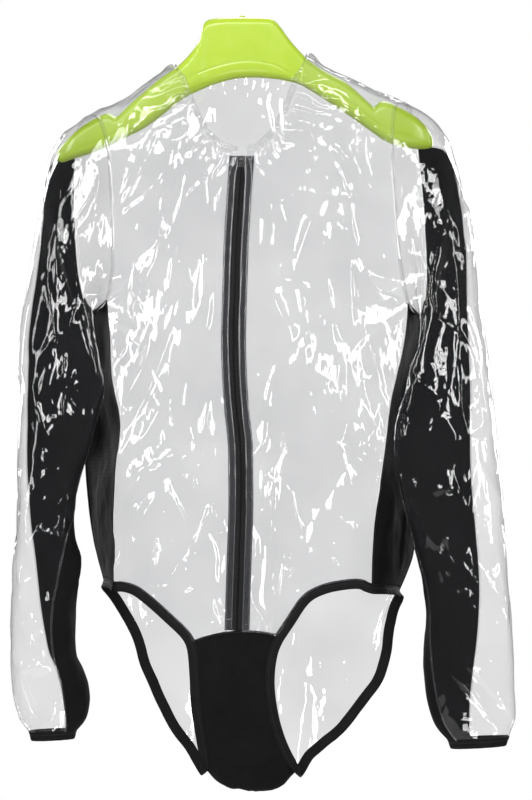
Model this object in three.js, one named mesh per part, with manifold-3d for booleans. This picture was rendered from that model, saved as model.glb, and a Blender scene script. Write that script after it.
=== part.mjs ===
// Transparent rain coat cut as a body suit, hanging on a broad moulded hanger.
// Millimetres, +Z up, the coat's front faces -Y, the origin is the hang point on top of the hanger.
// Names use the wearer's sides: the wearer's right is at -X.
import * as THREE from 'three';
import { mergeVertices } from 'three/addons/utils/BufferGeometryUtils.js';
import Module from 'manifold-3d';

// Sizes.
const GRID = 1.2;             // mm per unit of the drawing grid used by the tables below
const MID_ACROSS = 242;       // grid column of the hang point
const TOP_DOWN = 15;          // grid row of the hang point
const FILM = 1.2;             // wall of the clear film panels
const FABRIC = 1.4;           // wall of the black stretch panels
const TAPE = 1.0;             // wall of the zip tapes
const GAP = 0.3;              // air at a seam
const ROUND = 20;             // drop in which the film turns over the hanger's arm
const RIM = 9.6;              // width of the leg bindings
const RIM_T = 2.0;            // their thickness
const BAND = 9.0;             // width of the gathered neck strip
const ZIP_EDGE = 6;           // film stops this far from the zip's centre line
const TAPE_W = 15;            // width of one zip tape
const TAPE_BEHIND = 1.6;      // the tapes lie this far behind the fronts' middle surface
const BOSS_TOP = 2;           // top of the hanger's boss
const BOSS_HIGH = 5;          // its height, sunk into the hanger
const BOSS_TOP_R = 3.6;       // its radius at the top
const BOSS_FOOT_R = 4.2;      // and at its foot

// Finishes by node: colour, roughness, metalness.
const FINISH = [
  [/^hanger/, 0xb9e132, 0.32, 0],
  [/^(front|back|sleeve_.*_clear)/, 0xd7dade, 0.12, 0],
  [/^neckband/, 0xc9ccd0, 0.2, 0],
  [/^(side|sleeve_.*_black|gusset)/, 0x17171a, 0.85, 0],
  [/^(cuff|leg_binding)/, 0x151517, 0.7, 0],
  [/^zip_tape/, 0x1b1b1e, 0.6, 0],
  [/^zip_slider/, 0x101012, 0.35, 0.1],
];

const gx = (a) => (a - MID_ACROSS) * GRID;
const gz = (d) => (TOP_DOWN - d) * GRID;
const V = (x, y, z) => new THREE.Vector3(x, y, z);
const lerp = (a, b, t) => a + (b - a) * t;
const clamp = (x, a, b) => Math.min(b, Math.max(a, x));
const smooth = (t) => {
  const c = clamp(t, 0, 1);
  return c * c * (3 - 2 * c);
};
const mean = (a, b) => a.clone().add(b).multiplyScalar(0.5);
const RAD = Math.PI / 180;

// Smooth curve through a table, first column is the position (no overshoot between rows).
function through(rows, col = 1) {
  const n = rows.length;
  const x = rows.map((r) => r[0]);
  const y = rows.map((r) => r[col]);
  const wide = [];
  const rise = [];
  for (let i = 0; i < n - 1; i++) {
    wide.push(x[i + 1] - x[i]);
    rise.push((y[i + 1] - y[i]) / wide[i]);
  }
  const slope = [rise[0]];
  for (let i = 1; i < n - 1; i++) {
    const w1 = 2 * wide[i] + wide[i - 1];
    const w2 = wide[i] + 2 * wide[i - 1];
    const turns = rise[i - 1] * rise[i] <= 0;
    slope.push(turns ? 0 : (w1 + w2) / (w1 / rise[i - 1] + w2 / rise[i]));
  }
  slope.push(rise[n - 2]);
  return (t) => {
    if (t <= x[0]) return y[0] + slope[0] * (t - x[0]);
    if (t >= x[n - 1]) return y[n - 1] + slope[n - 1] * (t - x[n - 1]);
    let i = 0;
    while (t > x[i + 1]) i++;
    const h = wide[i];
    const s = (t - x[i]) / h;
    const s2 = s * s;
    const s3 = s2 * s;
    const start = y[i] * (2 * s3 - 3 * s2 + 1) + slope[i] * h * (s3 - 2 * s2 + s);
    return start + y[i + 1] * (3 * s2 - 2 * s3) + slope[i + 1] * h * (s3 - s2);
  };
}

// Solids.
// One closed wall from a surface s(u, v), u and v being lists of stations.
// pull = mm by which each edge stops short: [u first, u last, v first, v last].
function wall(name, s, us, vs, thick, pull = [0, 0, 0, 0], place = 0) {
  const nu = us.length;
  const nv = vs.length;
  const span = (list) => list[list.length - 1] - list[0];
  const eu = span(us) * 1e-4;
  const ev = span(vs) * 1e-4;
  const outer = [];
  const inner = [];
  for (let j = 0; j < nv; j++) {
    for (let i = 0; i < nu; i++) {
      let u = us[i];
      let v = vs[j];
      const du = Math.max(s(u + eu, v).distanceTo(s(u - eu, v)) / (2 * eu), 1e-6);
      const dv = Math.max(s(u, v + ev).distanceTo(s(u, v - ev)) / (2 * ev), 1e-6);
      if (i === 0) u += pull[0] / du;
      if (i === nu - 1) u -= pull[1] / du;
      if (j === 0) v += pull[2] / dv;
      if (j === nv - 1) v -= pull[3] / dv;
      const p = s(u, v);
      const alongU = s(u + eu, v).sub(s(u - eu, v));
      const alongV = s(u, v + ev).sub(s(u, v - ev));
      const n = alongU.cross(alongV).normalize();
      outer.push(p.clone().addScaledVector(n, place + thick / 2));
      inner.push(p.clone().addScaledVector(n, place - thick / 2));
    }
  }
  const pts = outer.concat(inner);
  const off = nu * nv;
  const tri = [];
  const id = (i, j) => j * nu + i;
  const twice = (a, b, c) => tri.push(a, b, c, off + a, off + c, off + b);
  for (let j = 0; j < nv - 1; j++) {
    for (let i = 0; i < nu - 1; i++) {
      const [a, b, c, d] = [id(i, j), id(i + 1, j), id(i + 1, j + 1), id(i, j + 1)];
      if (pts[a].distanceTo(pts[c]) < pts[b].distanceTo(pts[d])) {
        twice(a, b, c);
        twice(a, c, d);
      } else {
        twice(a, b, d);
        twice(b, c, d);
      }
    }
  }
  const rim = (a, b) => tri.push(a, off + a, off + b, a, off + b, b);
  for (let i = 0; i < nu - 1; i++) {
    rim(id(i, 0), id(i + 1, 0));
    rim(id(i + 1, nv - 1), id(i, nv - 1));
  }
  for (let j = 0; j < nv - 1; j++) {
    rim(id(nu - 1, j), id(nu - 1, j + 1));
    rim(id(0, j + 1), id(0, j));
  }
  return solid(name, pts, tri);
}

// One closed solid from rings of points; the rings close on themselves, or the ends get caps.
function rings(name, list, closed) {
  const n = list[0].length;
  const m = list.length;
  const tri = [];
  const last = closed ? m : m - 1;
  for (let j = 0; j < last; j++) {
    const next = (j + 1) % m;
    for (let i = 0; i < n; i++) {
      const beside = (i + 1) % n;
      const [a, b, c, d] = [j * n + i, j * n + beside, next * n + beside, next * n + i];
      tri.push(a, b, c, a, c, d);
    }
  }
  if (!closed) {
    const far = (m - 1) * n;
    for (let i = 1; i < n - 1; i++) {
      tri.push(0, i + 1, i);
      tri.push(far, far + i, far + i + 1);
    }
  }
  return solid(name, list.flat(), tri);
}

function solid(name, pts, tri) {
  let volume = 0;
  for (let i = 0; i < tri.length; i += 3) {
    const [a, b, c] = [pts[tri[i]], pts[tri[i + 1]], pts[tri[i + 2]]];
    volume += a.dot(b.clone().cross(c));
  }
  const index = tri.slice();
  if (volume < 0) index.reverse();
  const geometry = new THREE.BufferGeometry();
  const flat = pts.flatMap((p) => [p.x, p.y, p.z]);
  geometry.setAttribute('position', new THREE.Float32BufferAttribute(flat, 3));
  geometry.setIndex(index);
  geometry.computeVertexNormals();
  const [, color, roughness, metalness] = FINISH.find(([pattern]) => pattern.test(name));
  const mesh = new THREE.Mesh(geometry, new THREE.MeshStandardMaterial({ color, roughness, metalness }));
  mesh.name = name;
  return mesh;
}

const steps = (a, b, n) => Array.from({ length: n + 1 }, (_, i) => lerp(a, b, i / n));

// Sleeves.
// Each ring has an outer and an inner point (across, down, y in mm), the half depth b and the lean t of its
// front (mm), and the angles where the black panel starts at the inner side and ends at the rear (degrees).
// columns: ring, outer across, down, y, inner across, down, y, b, t, black from, black to
const SLEEVE_R = [
  [0, 90, 113.5, 0, 96, 308, -8, 56, 24, 28, -120],
  [1, 71, 127, -2, 90.5, 312.5, -12, 57, 23, 22, -128],
  [2, 57.5, 143, -6, 88.5, 321, -20, 57, 20, 12, -136],
  [3, 48.5, 163, -12, 90.5, 333, -30, 55, 15, 2, -142],
  [4, 45, 187, -20, 95, 346, -40, 52, 11, -6, -145],
  [5, 41, 212, -28, 100, 359.5, -48, 50, 7, -10, -146],
  [6, 36, 239, -34, 104, 372, -53, 48, 5, -12, -146],
  [7, 31, 270, -38, 106, 385, -58, 47, 3, -12, -146],
  [8, 26, 304, -40, 102, 401, -58, 46, 2, -12, -146],
  [9, 23, 338, -40, 97, 419, -56, 46, 1, -12, -146],
  [10, 21, 372, -40, 92, 439, -53, 46, 0, -12, -144],
  [11, 20, 406, -40, 86, 459, -50, 46, 0, -11, -142],
  [12, 19, 441, -40, 79, 482, -48, 46, 0, -8, -138],
  [13, 18.5, 476, -40, 74.5, 505, -46, 45, 0, 6, -132],
  [14, 17, 510, -40, 73, 527, -45, 44, 0, 32, -124],
  [15, 15, 544, -40, 79.5, 551, -44, 43, 0, 58, -115],
  [16, 13.2, 573, -40, 79, 575, -43, 42, 0, 67, -107],
  [17, 11.8, 598, -39, 76, 600, -42, 40, 0, 72, -99],
  [18, 10.5, 625, -39, 75, 626, -41, 38, 0, 74, -91],
  [19, 10, 650, -38, 76, 652, -40, 36, 0, 73, -84],
  [20, 11.2, 676, -37, 84, 674, -38, 34, 0, 73, -76],
  [21, 14.5, 700, -36, 88, 703, -37, 31, 0, 71, -69],
  [22, 21, 720, -36, 84, 721, -36, 28, 0, 66, -63],
  [23, 30, 733, -36, 75.5, 731, -36, 25, 0, 58, -58],
];
const SLEEVE_L = [
  [0, 402, 99.5, 0, 417, 312, -8, 56, -18, 28, -118],
  [1, 421, 109, -2, 422.5, 317, -12, 57, -18, 22, -126],
  [2, 437, 122, -6, 424.5, 326, -20, 57, -16, 12, -134],
  [3, 448.5, 140, -12, 423, 338, -30, 55, -12, 2, -140],
  [4, 456, 163, -20, 419, 350.5, -40, 52, -9, -6, -143],
  [5, 463, 190, -28, 414.5, 363.5, -48, 50, -6, -10, -144],
  [6, 469.5, 217, -34, 409, 376, -53, 48, -4, -12, -142],
  [7, 473.5, 249, -38, 404, 389, -58, 47, -3, -12, -140],
  [8, 476.5, 284, -40, 400, 404, -60, 46, -2, -12, -136],
  [9, 480.5, 319, -40, 396, 421, -60, 46, -1, -12, -134],
  [10, 486, 356, -40, 393.5, 441, -58, 46, 0, -12, -130],
  [11, 491, 393, -40, 394, 460, -56, 46, 0, -12, -125],
  [12, 494.3, 430, -40, 398, 478, -53, 46, 0, -11, -120],
  [13, 497.5, 466, -40, 403, 497, -50, 45, 0, -8, -116],
  [14, 501, 500, -40, 408, 517, -48, 44, 0, 0, -114],
  [15, 503.5, 530, -40, 412.5, 537, -46, 43, 0, 8, -113],
  [16, 505.5, 558, -40, 418, 558, -45, 42, 0, 14, -112],
  [17, 507, 585, -39, 423.5, 581, -43, 40, 0, 20, -110],
  [18, 509, 612, -39, 427, 607, -42, 38, 0, 24, -106],
  [19, 512, 640, -38, 424.5, 636, -40, 36, 0, 30, -102],
  [20, 514, 668, -37, 424.5, 668, -39, 34, 0, 36, -96],
  [21, 515, 698, -36, 428, 700, -38, 31, 0, 40, -90],
  [22, 514.5, 722, -36, 436, 724, -37, 28, 0, 42, -84],
  [23, 508, 738, -36, 449, 741, -36, 25, 0, 45, -78],
];
// Large folds of the sleeves.
// columns: ring, angle, ring slope per degree, half length (deg), half width (rings), height mm
const SLEEVE_FOLDS_R = [
  [5.5, 120, 0.02, 60, 0.8, 3.0],
  [8.0, 70, -0.02, 55, 0.7, -3.0],
  [9.6, 110, 0.03, 60, 0.7, 3.2],
  [11.4, 60, -0.03, 50, 0.7, 3.0],
  [12.6, 150, 0.03, 55, 0.6, -2.6],
  [13.8, 40, 0.02, 50, 0.6, 3.2],
  [15.6, 20, 0.03, 45, 0.6, 2.6],
  [17.0, 100, -0.02, 60, 0.8, -2.2],
  [19.6, 60, 0.02, 60, 0.7, 2.4],
  [8.6, -70, 0.02, 50, 0.7, 3.0],
  [11.8, -60, -0.02, 50, 0.7, -2.8],
  [14.2, -50, 0.02, 50, 0.7, 2.8],
  [20.6, 0, 0.01, 50, 0.6, 2.2],
];
const SLEEVE_FOLDS_L = [
  [4.6, 100, -0.02, 60, 0.8, 3.0],
  [7.0, 130, 0.02, 60, 0.8, -3.0],
  [9.0, 60, 0.02, 60, 0.7, 3.4],
  [10.6, 110, -0.03, 60, 0.7, 3.0],
  [12.2, 50, 0.02, 50, 0.6, -3.0],
  [13.4, 90, 0.03, 60, 0.7, 3.2],
  [15.0, 140, -0.02, 50, 0.7, 2.6],
  [17.6, 80, 0.02, 60, 0.8, -2.4],
  [20.0, 110, -0.02, 50, 0.7, 2.4],
  [9.4, -60, -0.02, 50, 0.7, 3.0],
  [12.6, -70, 0.02, 50, 0.7, -2.8],
  [16.4, -30, 0.02, 50, 0.7, 2.6],
];

const SQUARE_TOP = 2.7;             // the armhole's section is a squarer oval than the sleeve's
const SQUARE_LOW = 2.15;
const LAST_RING = 23;

function sleeve(rows, folds) {
  const column = [];
  for (let k = 1; k < rows[0].length; k++) column.push(through(rows, k));
  const [outA, outD, outY, inA, inD, inY, half, lean, from, to] = column;
  const foldPush = (k, deg) => {
    let push = 0;
    for (const [k0, d0, slope, halfLong, halfWide, high] of folds) {
      const off = ((deg - d0 + 540) % 360) - 180;
      const q = Math.abs(off) / halfLong;
      if (q >= 1) continue;
      const r = (k - k0 - slope * off) / halfWide;
      if (Math.abs(r) < 3) push += high * Math.exp(-r * r) * (1 - q * q) ** 2;
    }
    return push * smooth((k - 1.5) / 2) * smooth((LAST_RING - k) / 1.5);
  };
  const at = (k, deg) => {
    const out = V(gx(outA(k)), outY(k), gz(outD(k)));
    const inn = V(gx(inA(k)), inY(k), gz(inD(k)));
    const e1 = inn.clone().sub(out).multiplyScalar(0.5);
    const e2 = V(lean(k), -half(k), 0);
    const power = 2 / lerp(SQUARE_TOP, SQUARE_LOW, clamp(k / 6, 0, 1));
    const cos = Math.cos(deg * RAD);
    const sin = Math.sin(deg * RAD);
    const a = Math.sign(cos) * Math.abs(cos) ** power;
    const b = Math.sign(sin) * Math.abs(sin) ** power;
    const dir = e1.clone().multiplyScalar(a / Math.max(e1.length(), 1));
    dir.addScaledVector(e2, b / Math.max(e2.length(), 1)).normalize();
    return mean(out, inn).addScaledVector(e1, a).addScaledVector(e2, b).addScaledVector(dir, foldPush(k, deg));
  };
  return { at, from, to };
}
const ARM = { R: sleeve(SLEEVE_R, SLEEVE_FOLDS_R), L: sleeve(SLEEVE_L, SLEEVE_FOLDS_L) };
const FRONT_CORNER = 28;            // angle on the armhole where the side panel starts
const REAR_CORNER = -35;            // and where it ends

// Angle on the armhole for a given drop, on its front (1) or rear (-1) half.
function armholeAngle(arm, z, half) {
  let low = 4;
  let high = 180;
  for (let i = 0; i < 50; i++) {
    const mid = (low + high) / 2;
    if (arm.at(0, half * mid).z > z) high = mid;
    else low = mid;
  }
  return half * (low + high) / 2;
}

// Torso.
// columns: across, down of the line where the film lies over the hanger
const SHOULDER = [
  [84, 117], [90, 113.5], [95, 110.5], [105, 105.5], [118, 101], [129, 94.5], [139, 87.5],
  [149, 79.5], [161, 71.6], [174, 64.3],
  [190, 54], [210, 46], [242, 41], [274, 44], [292, 49], [308, 54], [322, 62.6], [334, 69.2],
  [346, 74.2], [358, 80.2], [372, 87.5], [385, 92.8], [398, 97.8], [402, 99.5], [410, 104],
];
const shoulder = through(SHOULDER);
// columns: down, half depth in front at the middle, at the back at the middle
const DEPTH = [
  [20, 32, 32], [60, 34, 33], [100, 42, 40], [155, 54, 47], [230, 63, 52], [330, 67, 55],
  [430, 65, 54], [520, 61, 50], [600, 54, 42], [640, 50, 36], [700, 42, 28], [760, 26, 17],
  [800, 12, 10],
];
const depthFront = through(DEPTH, 1);
const depthBack = through(DEPTH, 2);
// Zip's centre line. columns: down, across
const ZIP = [
  [150, 242.3], [200, 239], [240, 236.5], [300, 234.6], [340, 233.6], [400, 236], [450, 240.6],
  [500, 241], [560, 239.2], [632, 237], [640, 236.8],
];
const zipAcross = through(ZIP);
// Large folds of the front. columns: from across, from down, to across, to down, half width mm, height mm
const FOLDS_FRONT = [
  [186, 112, 150, 178, 9, 3.2],
  [203, 150, 214, 232, 9, 2.6],
  [196, 250, 186, 320, 11, -3.0],
  [130, 205, 176, 262, 10, 2.8],
  [150, 270, 124, 352, 10, 3.2],
  [206, 300, 160, 395, 11, 3.6],
  [176, 380, 138, 452, 11, -3.0],
  [212, 402, 188, 486, 10, 3.2],
  [150, 470, 132, 548, 10, 3.0],
  [206, 520, 178, 590, 10, 2.6],
  [286, 118, 322, 182, 9, 3.0],
  [272, 156, 264, 228, 9, 2.6],
  [300, 196, 356, 246, 10, 3.2],
  [272, 262, 300, 330, 11, -3.0],
  [340, 268, 376, 342, 10, 3.0],
  [282, 330, 330, 404, 11, 3.6],
  [352, 376, 320, 452, 11, 3.0],
  [276, 420, 290, 508, 10, -3.0],
  [350, 470, 330, 552, 10, 3.2],
  [290, 536, 306, 588, 9, 2.4],
];
// The same for the back, hidden from the front.
const FOLDS_BACK = [
  [206, 98, 176, 172, 11, -2.8],
  [262, 92, 292, 166, 11, -2.8],
  [150, 200, 190, 282, 12, 3.2],
  [330, 190, 296, 276, 12, 3.4],
  [240, 230, 232, 330, 12, -3.0],
  [120, 330, 168, 402, 12, 3.0],
  [370, 330, 322, 410, 12, 3.2],
  [212, 380, 254, 460, 12, 3.2],
  [150, 470, 190, 548, 12, -2.8],
  [352, 462, 312, 540, 12, 3.0],
  [236, 520, 246, 610, 12, 2.8],
  [196, 610, 214, 680, 10, 2.4],
  [300, 616, 282, 690, 10, 2.4],
];
function foldHeight(table, across, down) {
  let total = 0;
  for (const [a0, d0, a1, d1, half, height] of table) {
    const da = a1 - a0;
    const dd = d1 - d0;
    const length = Math.hypot(da, dd);
    const t = ((across - a0) * da + (down - d0) * dd) / length ** 2;
    if (t < -0.25 || t > 1.25) continue;
    const off = ((across - a0) * dd - (down - d0) * da) / length * GRID / half;
    total += height * Math.exp(-off * off) * smooth((t + 0.25) / 0.5) * smooth((1.25 - t) / 0.5);
  }
  return total;
}
const over = (h) => {
  if (h <= 0) return 0;
  return h >= ROUND ? 1 : Math.sqrt(1 - (1 - h / ROUND) ** 2);
};
const FRONT_MIDDLE = 240;           // grid column the front is deepest at
const BACK_MIDDLE = 246;
const underShoulder = (across, down) => (down - shoulder(across)) * GRID;
function frontPlain(across, down) {
  const side = Math.abs(across - FRONT_MIDDLE) / 150;
  const flatter = 9 * smooth((down - 150) / 200) * side ** 2.4;
  return over(underShoulder(across, down)) * (depthFront(down) - flatter);
}
function frontDepth(across, down) {
  const besideZip = smooth((Math.abs(across - zipAcross(down)) * GRID - 20) / 22);
  const loose = besideZip * smooth((underShoulder(across, down) - 30) / 40);
  return frontPlain(across, down) + loose * foldHeight(FOLDS_FRONT, across, down);
}
function backDepth(across, down) {
  const h = underShoulder(across, down);
  const side = Math.abs(across - BACK_MIDDLE) / 170;
  const flatter = 4 * smooth((down - 150) / 200) * side ** 2.4;
  const plain = over(h) * (depthBack(down) - flatter);
  return plain + smooth((h - 30) / 40) * foldHeight(FOLDS_BACK, across, down);
}

// Rows of a panel, numbered from the shoulder line down.
const ROWS = 32;
const ARM_ROW = 17;                 // the row at the armhole's foot
const NECK_ROW = 12;                // the row at the top of the zip
// Inner edge of the fronts down to the top of the zip. columns: row, across, down
const NECK_R = [
  [0, 174, 64.3], [1, 174.3, 65.3], [2, 175, 67.8], [3, 176, 71.6], [4, 177.6, 76.8], [5, 180, 84],
  [6, 183.4, 94], [7, 187.6, 104.5], [8, 193, 116], [9, 200, 129], [10, 209.5, 141],
  [11, 222, 150], [12, 236.8, 155.5],
];
const NECK_L = [
  [0, 308, 54], [1, 307.7, 55.1], [2, 306.8, 58.2], [3, 305.4, 63], [4, 303.4, 69.5],
  [5, 300.6, 78], [6, 297, 89], [7, 293, 100], [8, 288.4, 112], [9, 282, 125], [10, 273, 138],
  [11, 261.5, 148.5], [12, 247, 155],
];
// Drop of the rows on the armhole side. columns: row, down (wearer's right), down (wearer's left)
const ARM_DOWN = [
  [0, 113.5, 99.5], [1, 114.6, 100.6], [2, 117.2, 103.4], [3, 121.4, 107.8], [4, 127.4, 114],
  [5, 135.5, 122.5], [6, 146, 133.5], [7, 157.5, 145.5], [8, 170, 158.5], [9, 183, 172],
  [10, 197, 186.5], [11, 211, 201.5], [12, 225.5, 217], [13, 240, 233], [14, 255, 249],
  [15, 270, 265.5], [16, 284.5, 282], [17, 298, 298],
];
// Side seams below the armhole. columns: down, across, y
const SEAM = {
  R: {
    front: [
      [298, 106.8, -38], [318, 108.6, -42], [340, 110.4, -47], [362, 111.4, -50], [385, 113, -52],
      [402, 117.6, -53], [422, 120.6, -54], [447, 118.4, -54], [480, 115.6, -53], [540, 114, -50],
      [583, 114.5, -47],
    ],
    back: [
      [292, 83, 28], [318, 81, 38], [345, 80, 43], [400, 80, 48], [450, 82, 50], [505, 86, 50],
      [555, 94, 48], [585, 101.5, 45],
    ],
  },
  L: {
    front: [
      [302, 407, -38], [320, 406.4, -42], [340, 404.6, -47], [365, 399, -50], [388, 393.4, -52],
      [405, 390, -53], [430, 386.6, -54], [455, 383, -54], [490, 378.4, -53], [540, 373, -50],
      [590, 371.5, -47],
    ],
    back: [
      [298, 427, 28], [320, 429.6, 38], [345, 430, 43], [400, 426.6, 48], [450, 423.6, 50],
      [505, 421, 50], [560, 415.4, 48], [598, 401, 45],
    ],
  },
};
// Leg openings, once round: side seam, front edge, gusset edge, fold, rear edge.
// columns: place, across, down, y, free side across, free side up
const LEG_R = [
  [0, 114.5, 583, -47, -0.1, -1], [1, 124, 583.2, -47.5, -0.1, -1], [2, 137, 587.4, -48, -0.2, -1],
  [3, 152, 598.5, -48.5, -0.4, -0.9], [4, 172, 616.5, -49, -0.6, -0.8],
  [5, 188.6, 633, -49, -0.8, -0.7], [6, 195.4, 648, -48, -1, -0.3], [7, 198, 676, -43.5, -1, -0.1],
  [8, 199.2, 704, -36.5, -1, 0], [9, 203, 731, -27, -1, 0.1], [10, 207, 755, -15.5, -1, 0],
  [11, 208.4, 768, -6, -0.9, -0.4],
  [12, 207, 772.6, 4, -0.8, -0.6], [13, 201, 764, 13, -0.8, -0.6],
  [14, 191.5, 748, 20, -0.8, -0.6], [15, 178, 731, 26, -0.7, -0.7],
  [16, 165.5, 708, 31, -0.8, -0.6], [17, 155, 685, 35, -0.8, -0.5],
  [18, 146, 664, 38, -0.9, -0.4], [19, 139.5, 641, 41, -0.9, -0.4],
  [20, 127.5, 617, 43, -0.8, -0.6], [21, 114, 596, 45, -0.7, -0.7], [22, 103, 583, 45, -0.3, -1],
  [23, 104, 580.5, 20, -0.2, -1], [24, 109, 580.5, -20, -0.1, -1],
];
const LEG_L = [
  [0, 371.5, 585, -47, 0.1, -1], [1, 360, 580.5, -47.5, 0, -1], [2, 343, 581.4, -48, 0, -1],
  [3, 322, 586, -48.5, 0.3, -0.9], [4, 303.5, 596.5, -49, 0.6, -0.8],
  [5, 287, 620, -49, 0.8, -0.6], [6, 271.5, 646, -48, 1, -0.3], [7, 266.2, 678, -43.5, 1, 0],
  [8, 269, 710, -36.5, 1, 0.1], [9, 276, 738, -27, 1, 0.2], [10, 285, 759.5, -15.5, 0.9, 0.2],
  [11, 292.5, 771.5, -6, 0.8, -0.3],
  [12, 294.6, 774, 4, 0.7, -0.6], [13, 298, 771.5, 13, 0.7, -0.7], [14, 307, 757, 20, 0.7, -0.7],
  [15, 322, 744, 26, 0.7, -0.7], [16, 341, 728, 31, 0.7, -0.7], [17, 361, 702, 35, 0.8, -0.6],
  [18, 376, 682, 38, 0.8, -0.5], [19, 384, 658, 41, 0.9, -0.3], [20, 387.4, 633, 43, 0.9, -0.4],
  [21, 392.4, 611, 45, 0.8, -0.6], [22, 400, 594, 45, 0.3, -1], [23, 398, 589, 20, 0.2, -1],
  [24, 386, 586.5, -20, 0.1, -1],
];
function leg(rows) {
  const n = rows.length;
  const before = rows.slice(-3).map((r) => [r[0] - n, ...r.slice(1)]);
  const after = rows.slice(0, 3).map((r) => [r[0] + n, ...r.slice(1)]);
  const pad = [...before, ...rows, ...after];
  // smooth cubic through the rows, once round
  const column = (k) => (place) => {
    const s = ((place % n) + n) % n;
    const i = Math.floor(s);
    const f = s - i;
    const [p0, p1, p2, p3] = [2, 3, 4, 5].map((j) => pad[clamp(i + j, 0, pad.length - 1)][k]);
    const bend = 2 * p0 - 5 * p1 + 4 * p2 - p3;
    return 0.5 * (2 * p1 + (p2 - p0) * f + bend * f * f + (3 * p1 - p0 - 3 * p2 + p3) * f ** 3);
  };
  const [a, d, y, freeA, freeZ] = [1, 2, 3, 4, 5].map(column);
  return {
    n,
    grid: (s) => [a(s), d(s), y(s)],
    at: (s) => V(gx(a(s)), y(s), gz(d(s))),
    free: (s) => V(freeA(s), 0, freeZ(s)),
  };
}
const LEG = { R: leg(LEG_R), L: leg(LEG_L) };
const GUSSET_FRONT = 5.6;           // place on a leg opening where the gusset's front seam ends
const GUSSET_REAR = 13;             // and where its rear seam ends
const REAR_SEAM = 22;               // place on a leg opening where the side panel's rear seam ends

// Rear edge of a leg opening: column for a given row.
function rearColumn(hole, sign) {
  const pts = steps(REAR_SEAM, GUSSET_REAR, 180).map((s) => hole.grid(s));
  return (d) => {
    if (d <= pts[0][1]) return pts[0][0] + sign * (pts[0][1] - d) * 0.55;
    for (let i = 1; i < pts.length; i++) {
      const [p, q] = [pts[i - 1], pts[i]];
      if (q[1] >= d) return lerp(p[0], q[0], (d - p[1]) / Math.max(q[1] - p[1], 1e-6));
    }
    return pts[pts.length - 1][0];
  };
}
const rearEdge = { R: rearColumn(LEG.R, -1), L: rearColumn(LEG.L, 1) };

const onGrid = (p) => [p.x / GRID + MID_ACROSS, TOP_DOWN - p.z / GRID, p.y];

// The edge of a body panel on the armhole side: armhole first, then the side seam. Grid units and y.
function armSideEdge(sideName, seam, cornerAngle, half, legPlace) {
  const arm = ARM[sideName];
  const armDown = through(ARM_DOWN, sideName === 'R' ? 1 : 2);
  const seamAcross = through(seam, 1);
  const seamY = through(seam, 2);
  const corner = onGrid(arm.at(0, cornerAngle));
  const legTop = LEG[sideName].grid(legPlace);
  const offCorner = [corner[0] - seamAcross(corner[1]), corner[2] - seamY(corner[1])];
  const offLeg = [legTop[0] - seamAcross(legTop[1]), legTop[2] - seamY(legTop[1])];
  return (r) => {
    if (r <= 0) return onGrid(arm.at(0, 180));
    if (r <= ARM_ROW) {
      const part = (armDown(r) - armDown(0)) / (armDown(ARM_ROW) - armDown(0));
      return onGrid(arm.at(0, armholeAngle(arm, gz(lerp(armDown(0), corner[1], part)), half)));
    }
    const t = (r - ARM_ROW) / (ROWS - ARM_ROW);
    const d = lerp(corner[1], legTop[1], t);
    const e = 1 - smooth(t * 4);
    const f = smooth((t - 0.75) * 4);
    return [seamAcross(d) + e * offCorner[0] + f * offLeg[0], d, seamY(d) + e * offCorner[1] + f * offLeg[1]];
  };
}

// Edges of a front panel in grid units.
const ZIP_FOOT = 632;               // grid row where the zip ends
const GUSSET_SHARE = 0.3;           // share of a front's lower edge that is sewn to the gusset
function frontEdges(sideName) {
  const right = sideName === 'R';
  const neck = right ? NECK_R : NECK_L;
  const neckAcross = through(neck, 1);
  const neckDown = through(neck, 2);
  const sign = right ? -1 : 1;
  const hole = LEG[sideName];
  const inner = (r) => {
    if (r <= NECK_ROW) return [neckAcross(r), neckDown(r)];
    const d = lerp(neckDown(NECK_ROW), ZIP_FOOT, (r - NECK_ROW) / (ROWS - NECK_ROW));
    return [zipAcross(d) + sign * ZIP_EDGE / GRID, d];
  };
  const outer = armSideEdge(sideName, SEAM[sideName].front, FRONT_CORNER, 1, 0);
  const topFrom = inner(0)[0];
  const topTo = outer(0)[0];
  const top = (u) => {
    const a = lerp(topFrom, topTo, u);
    return [a, shoulder(a)];
  };
  const foot = inner(ROWS);
  const gusset = hole.grid(GUSSET_FRONT);
  const bottom = (u) => {
    if (u <= GUSSET_SHARE) {
      const t = u / GUSSET_SHARE;
      return [lerp(foot[0], gusset[0], t), lerp(foot[1], gusset[1], t ** 1.8)];
    }
    return hole.grid(lerp(GUSSET_FRONT, 0, (u - GUSSET_SHARE) / (1 - GUSSET_SHARE))).slice(0, 2);
  };
  return { inner, outer, top, bottom };
}
// Blend of four edges; all edges share their corners.
function coons(top, bottom, first, last, u, r) {
  const [T, B, F, L] = [top(u), bottom(u), first(r), last(r)];
  const [c00, c10, c01, c11] = [first(0), last(0), first(ROWS), last(ROWS)];
  const v = 0.5 * ((F[1] - c00[1]) / (c01[1] - c00[1]) + (L[1] - c10[1]) / (c11[1] - c10[1]));
  return [0, 1].map((k) => {
    const corners = (1 - v) * ((1 - u) * c00[k] + u * c10[k]) + v * ((1 - u) * c01[k] + u * c11[k]);
    return (1 - v) * T[k] + v * B[k] + (1 - u) * F[k] + u * L[k] - corners;
  });
}
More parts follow.
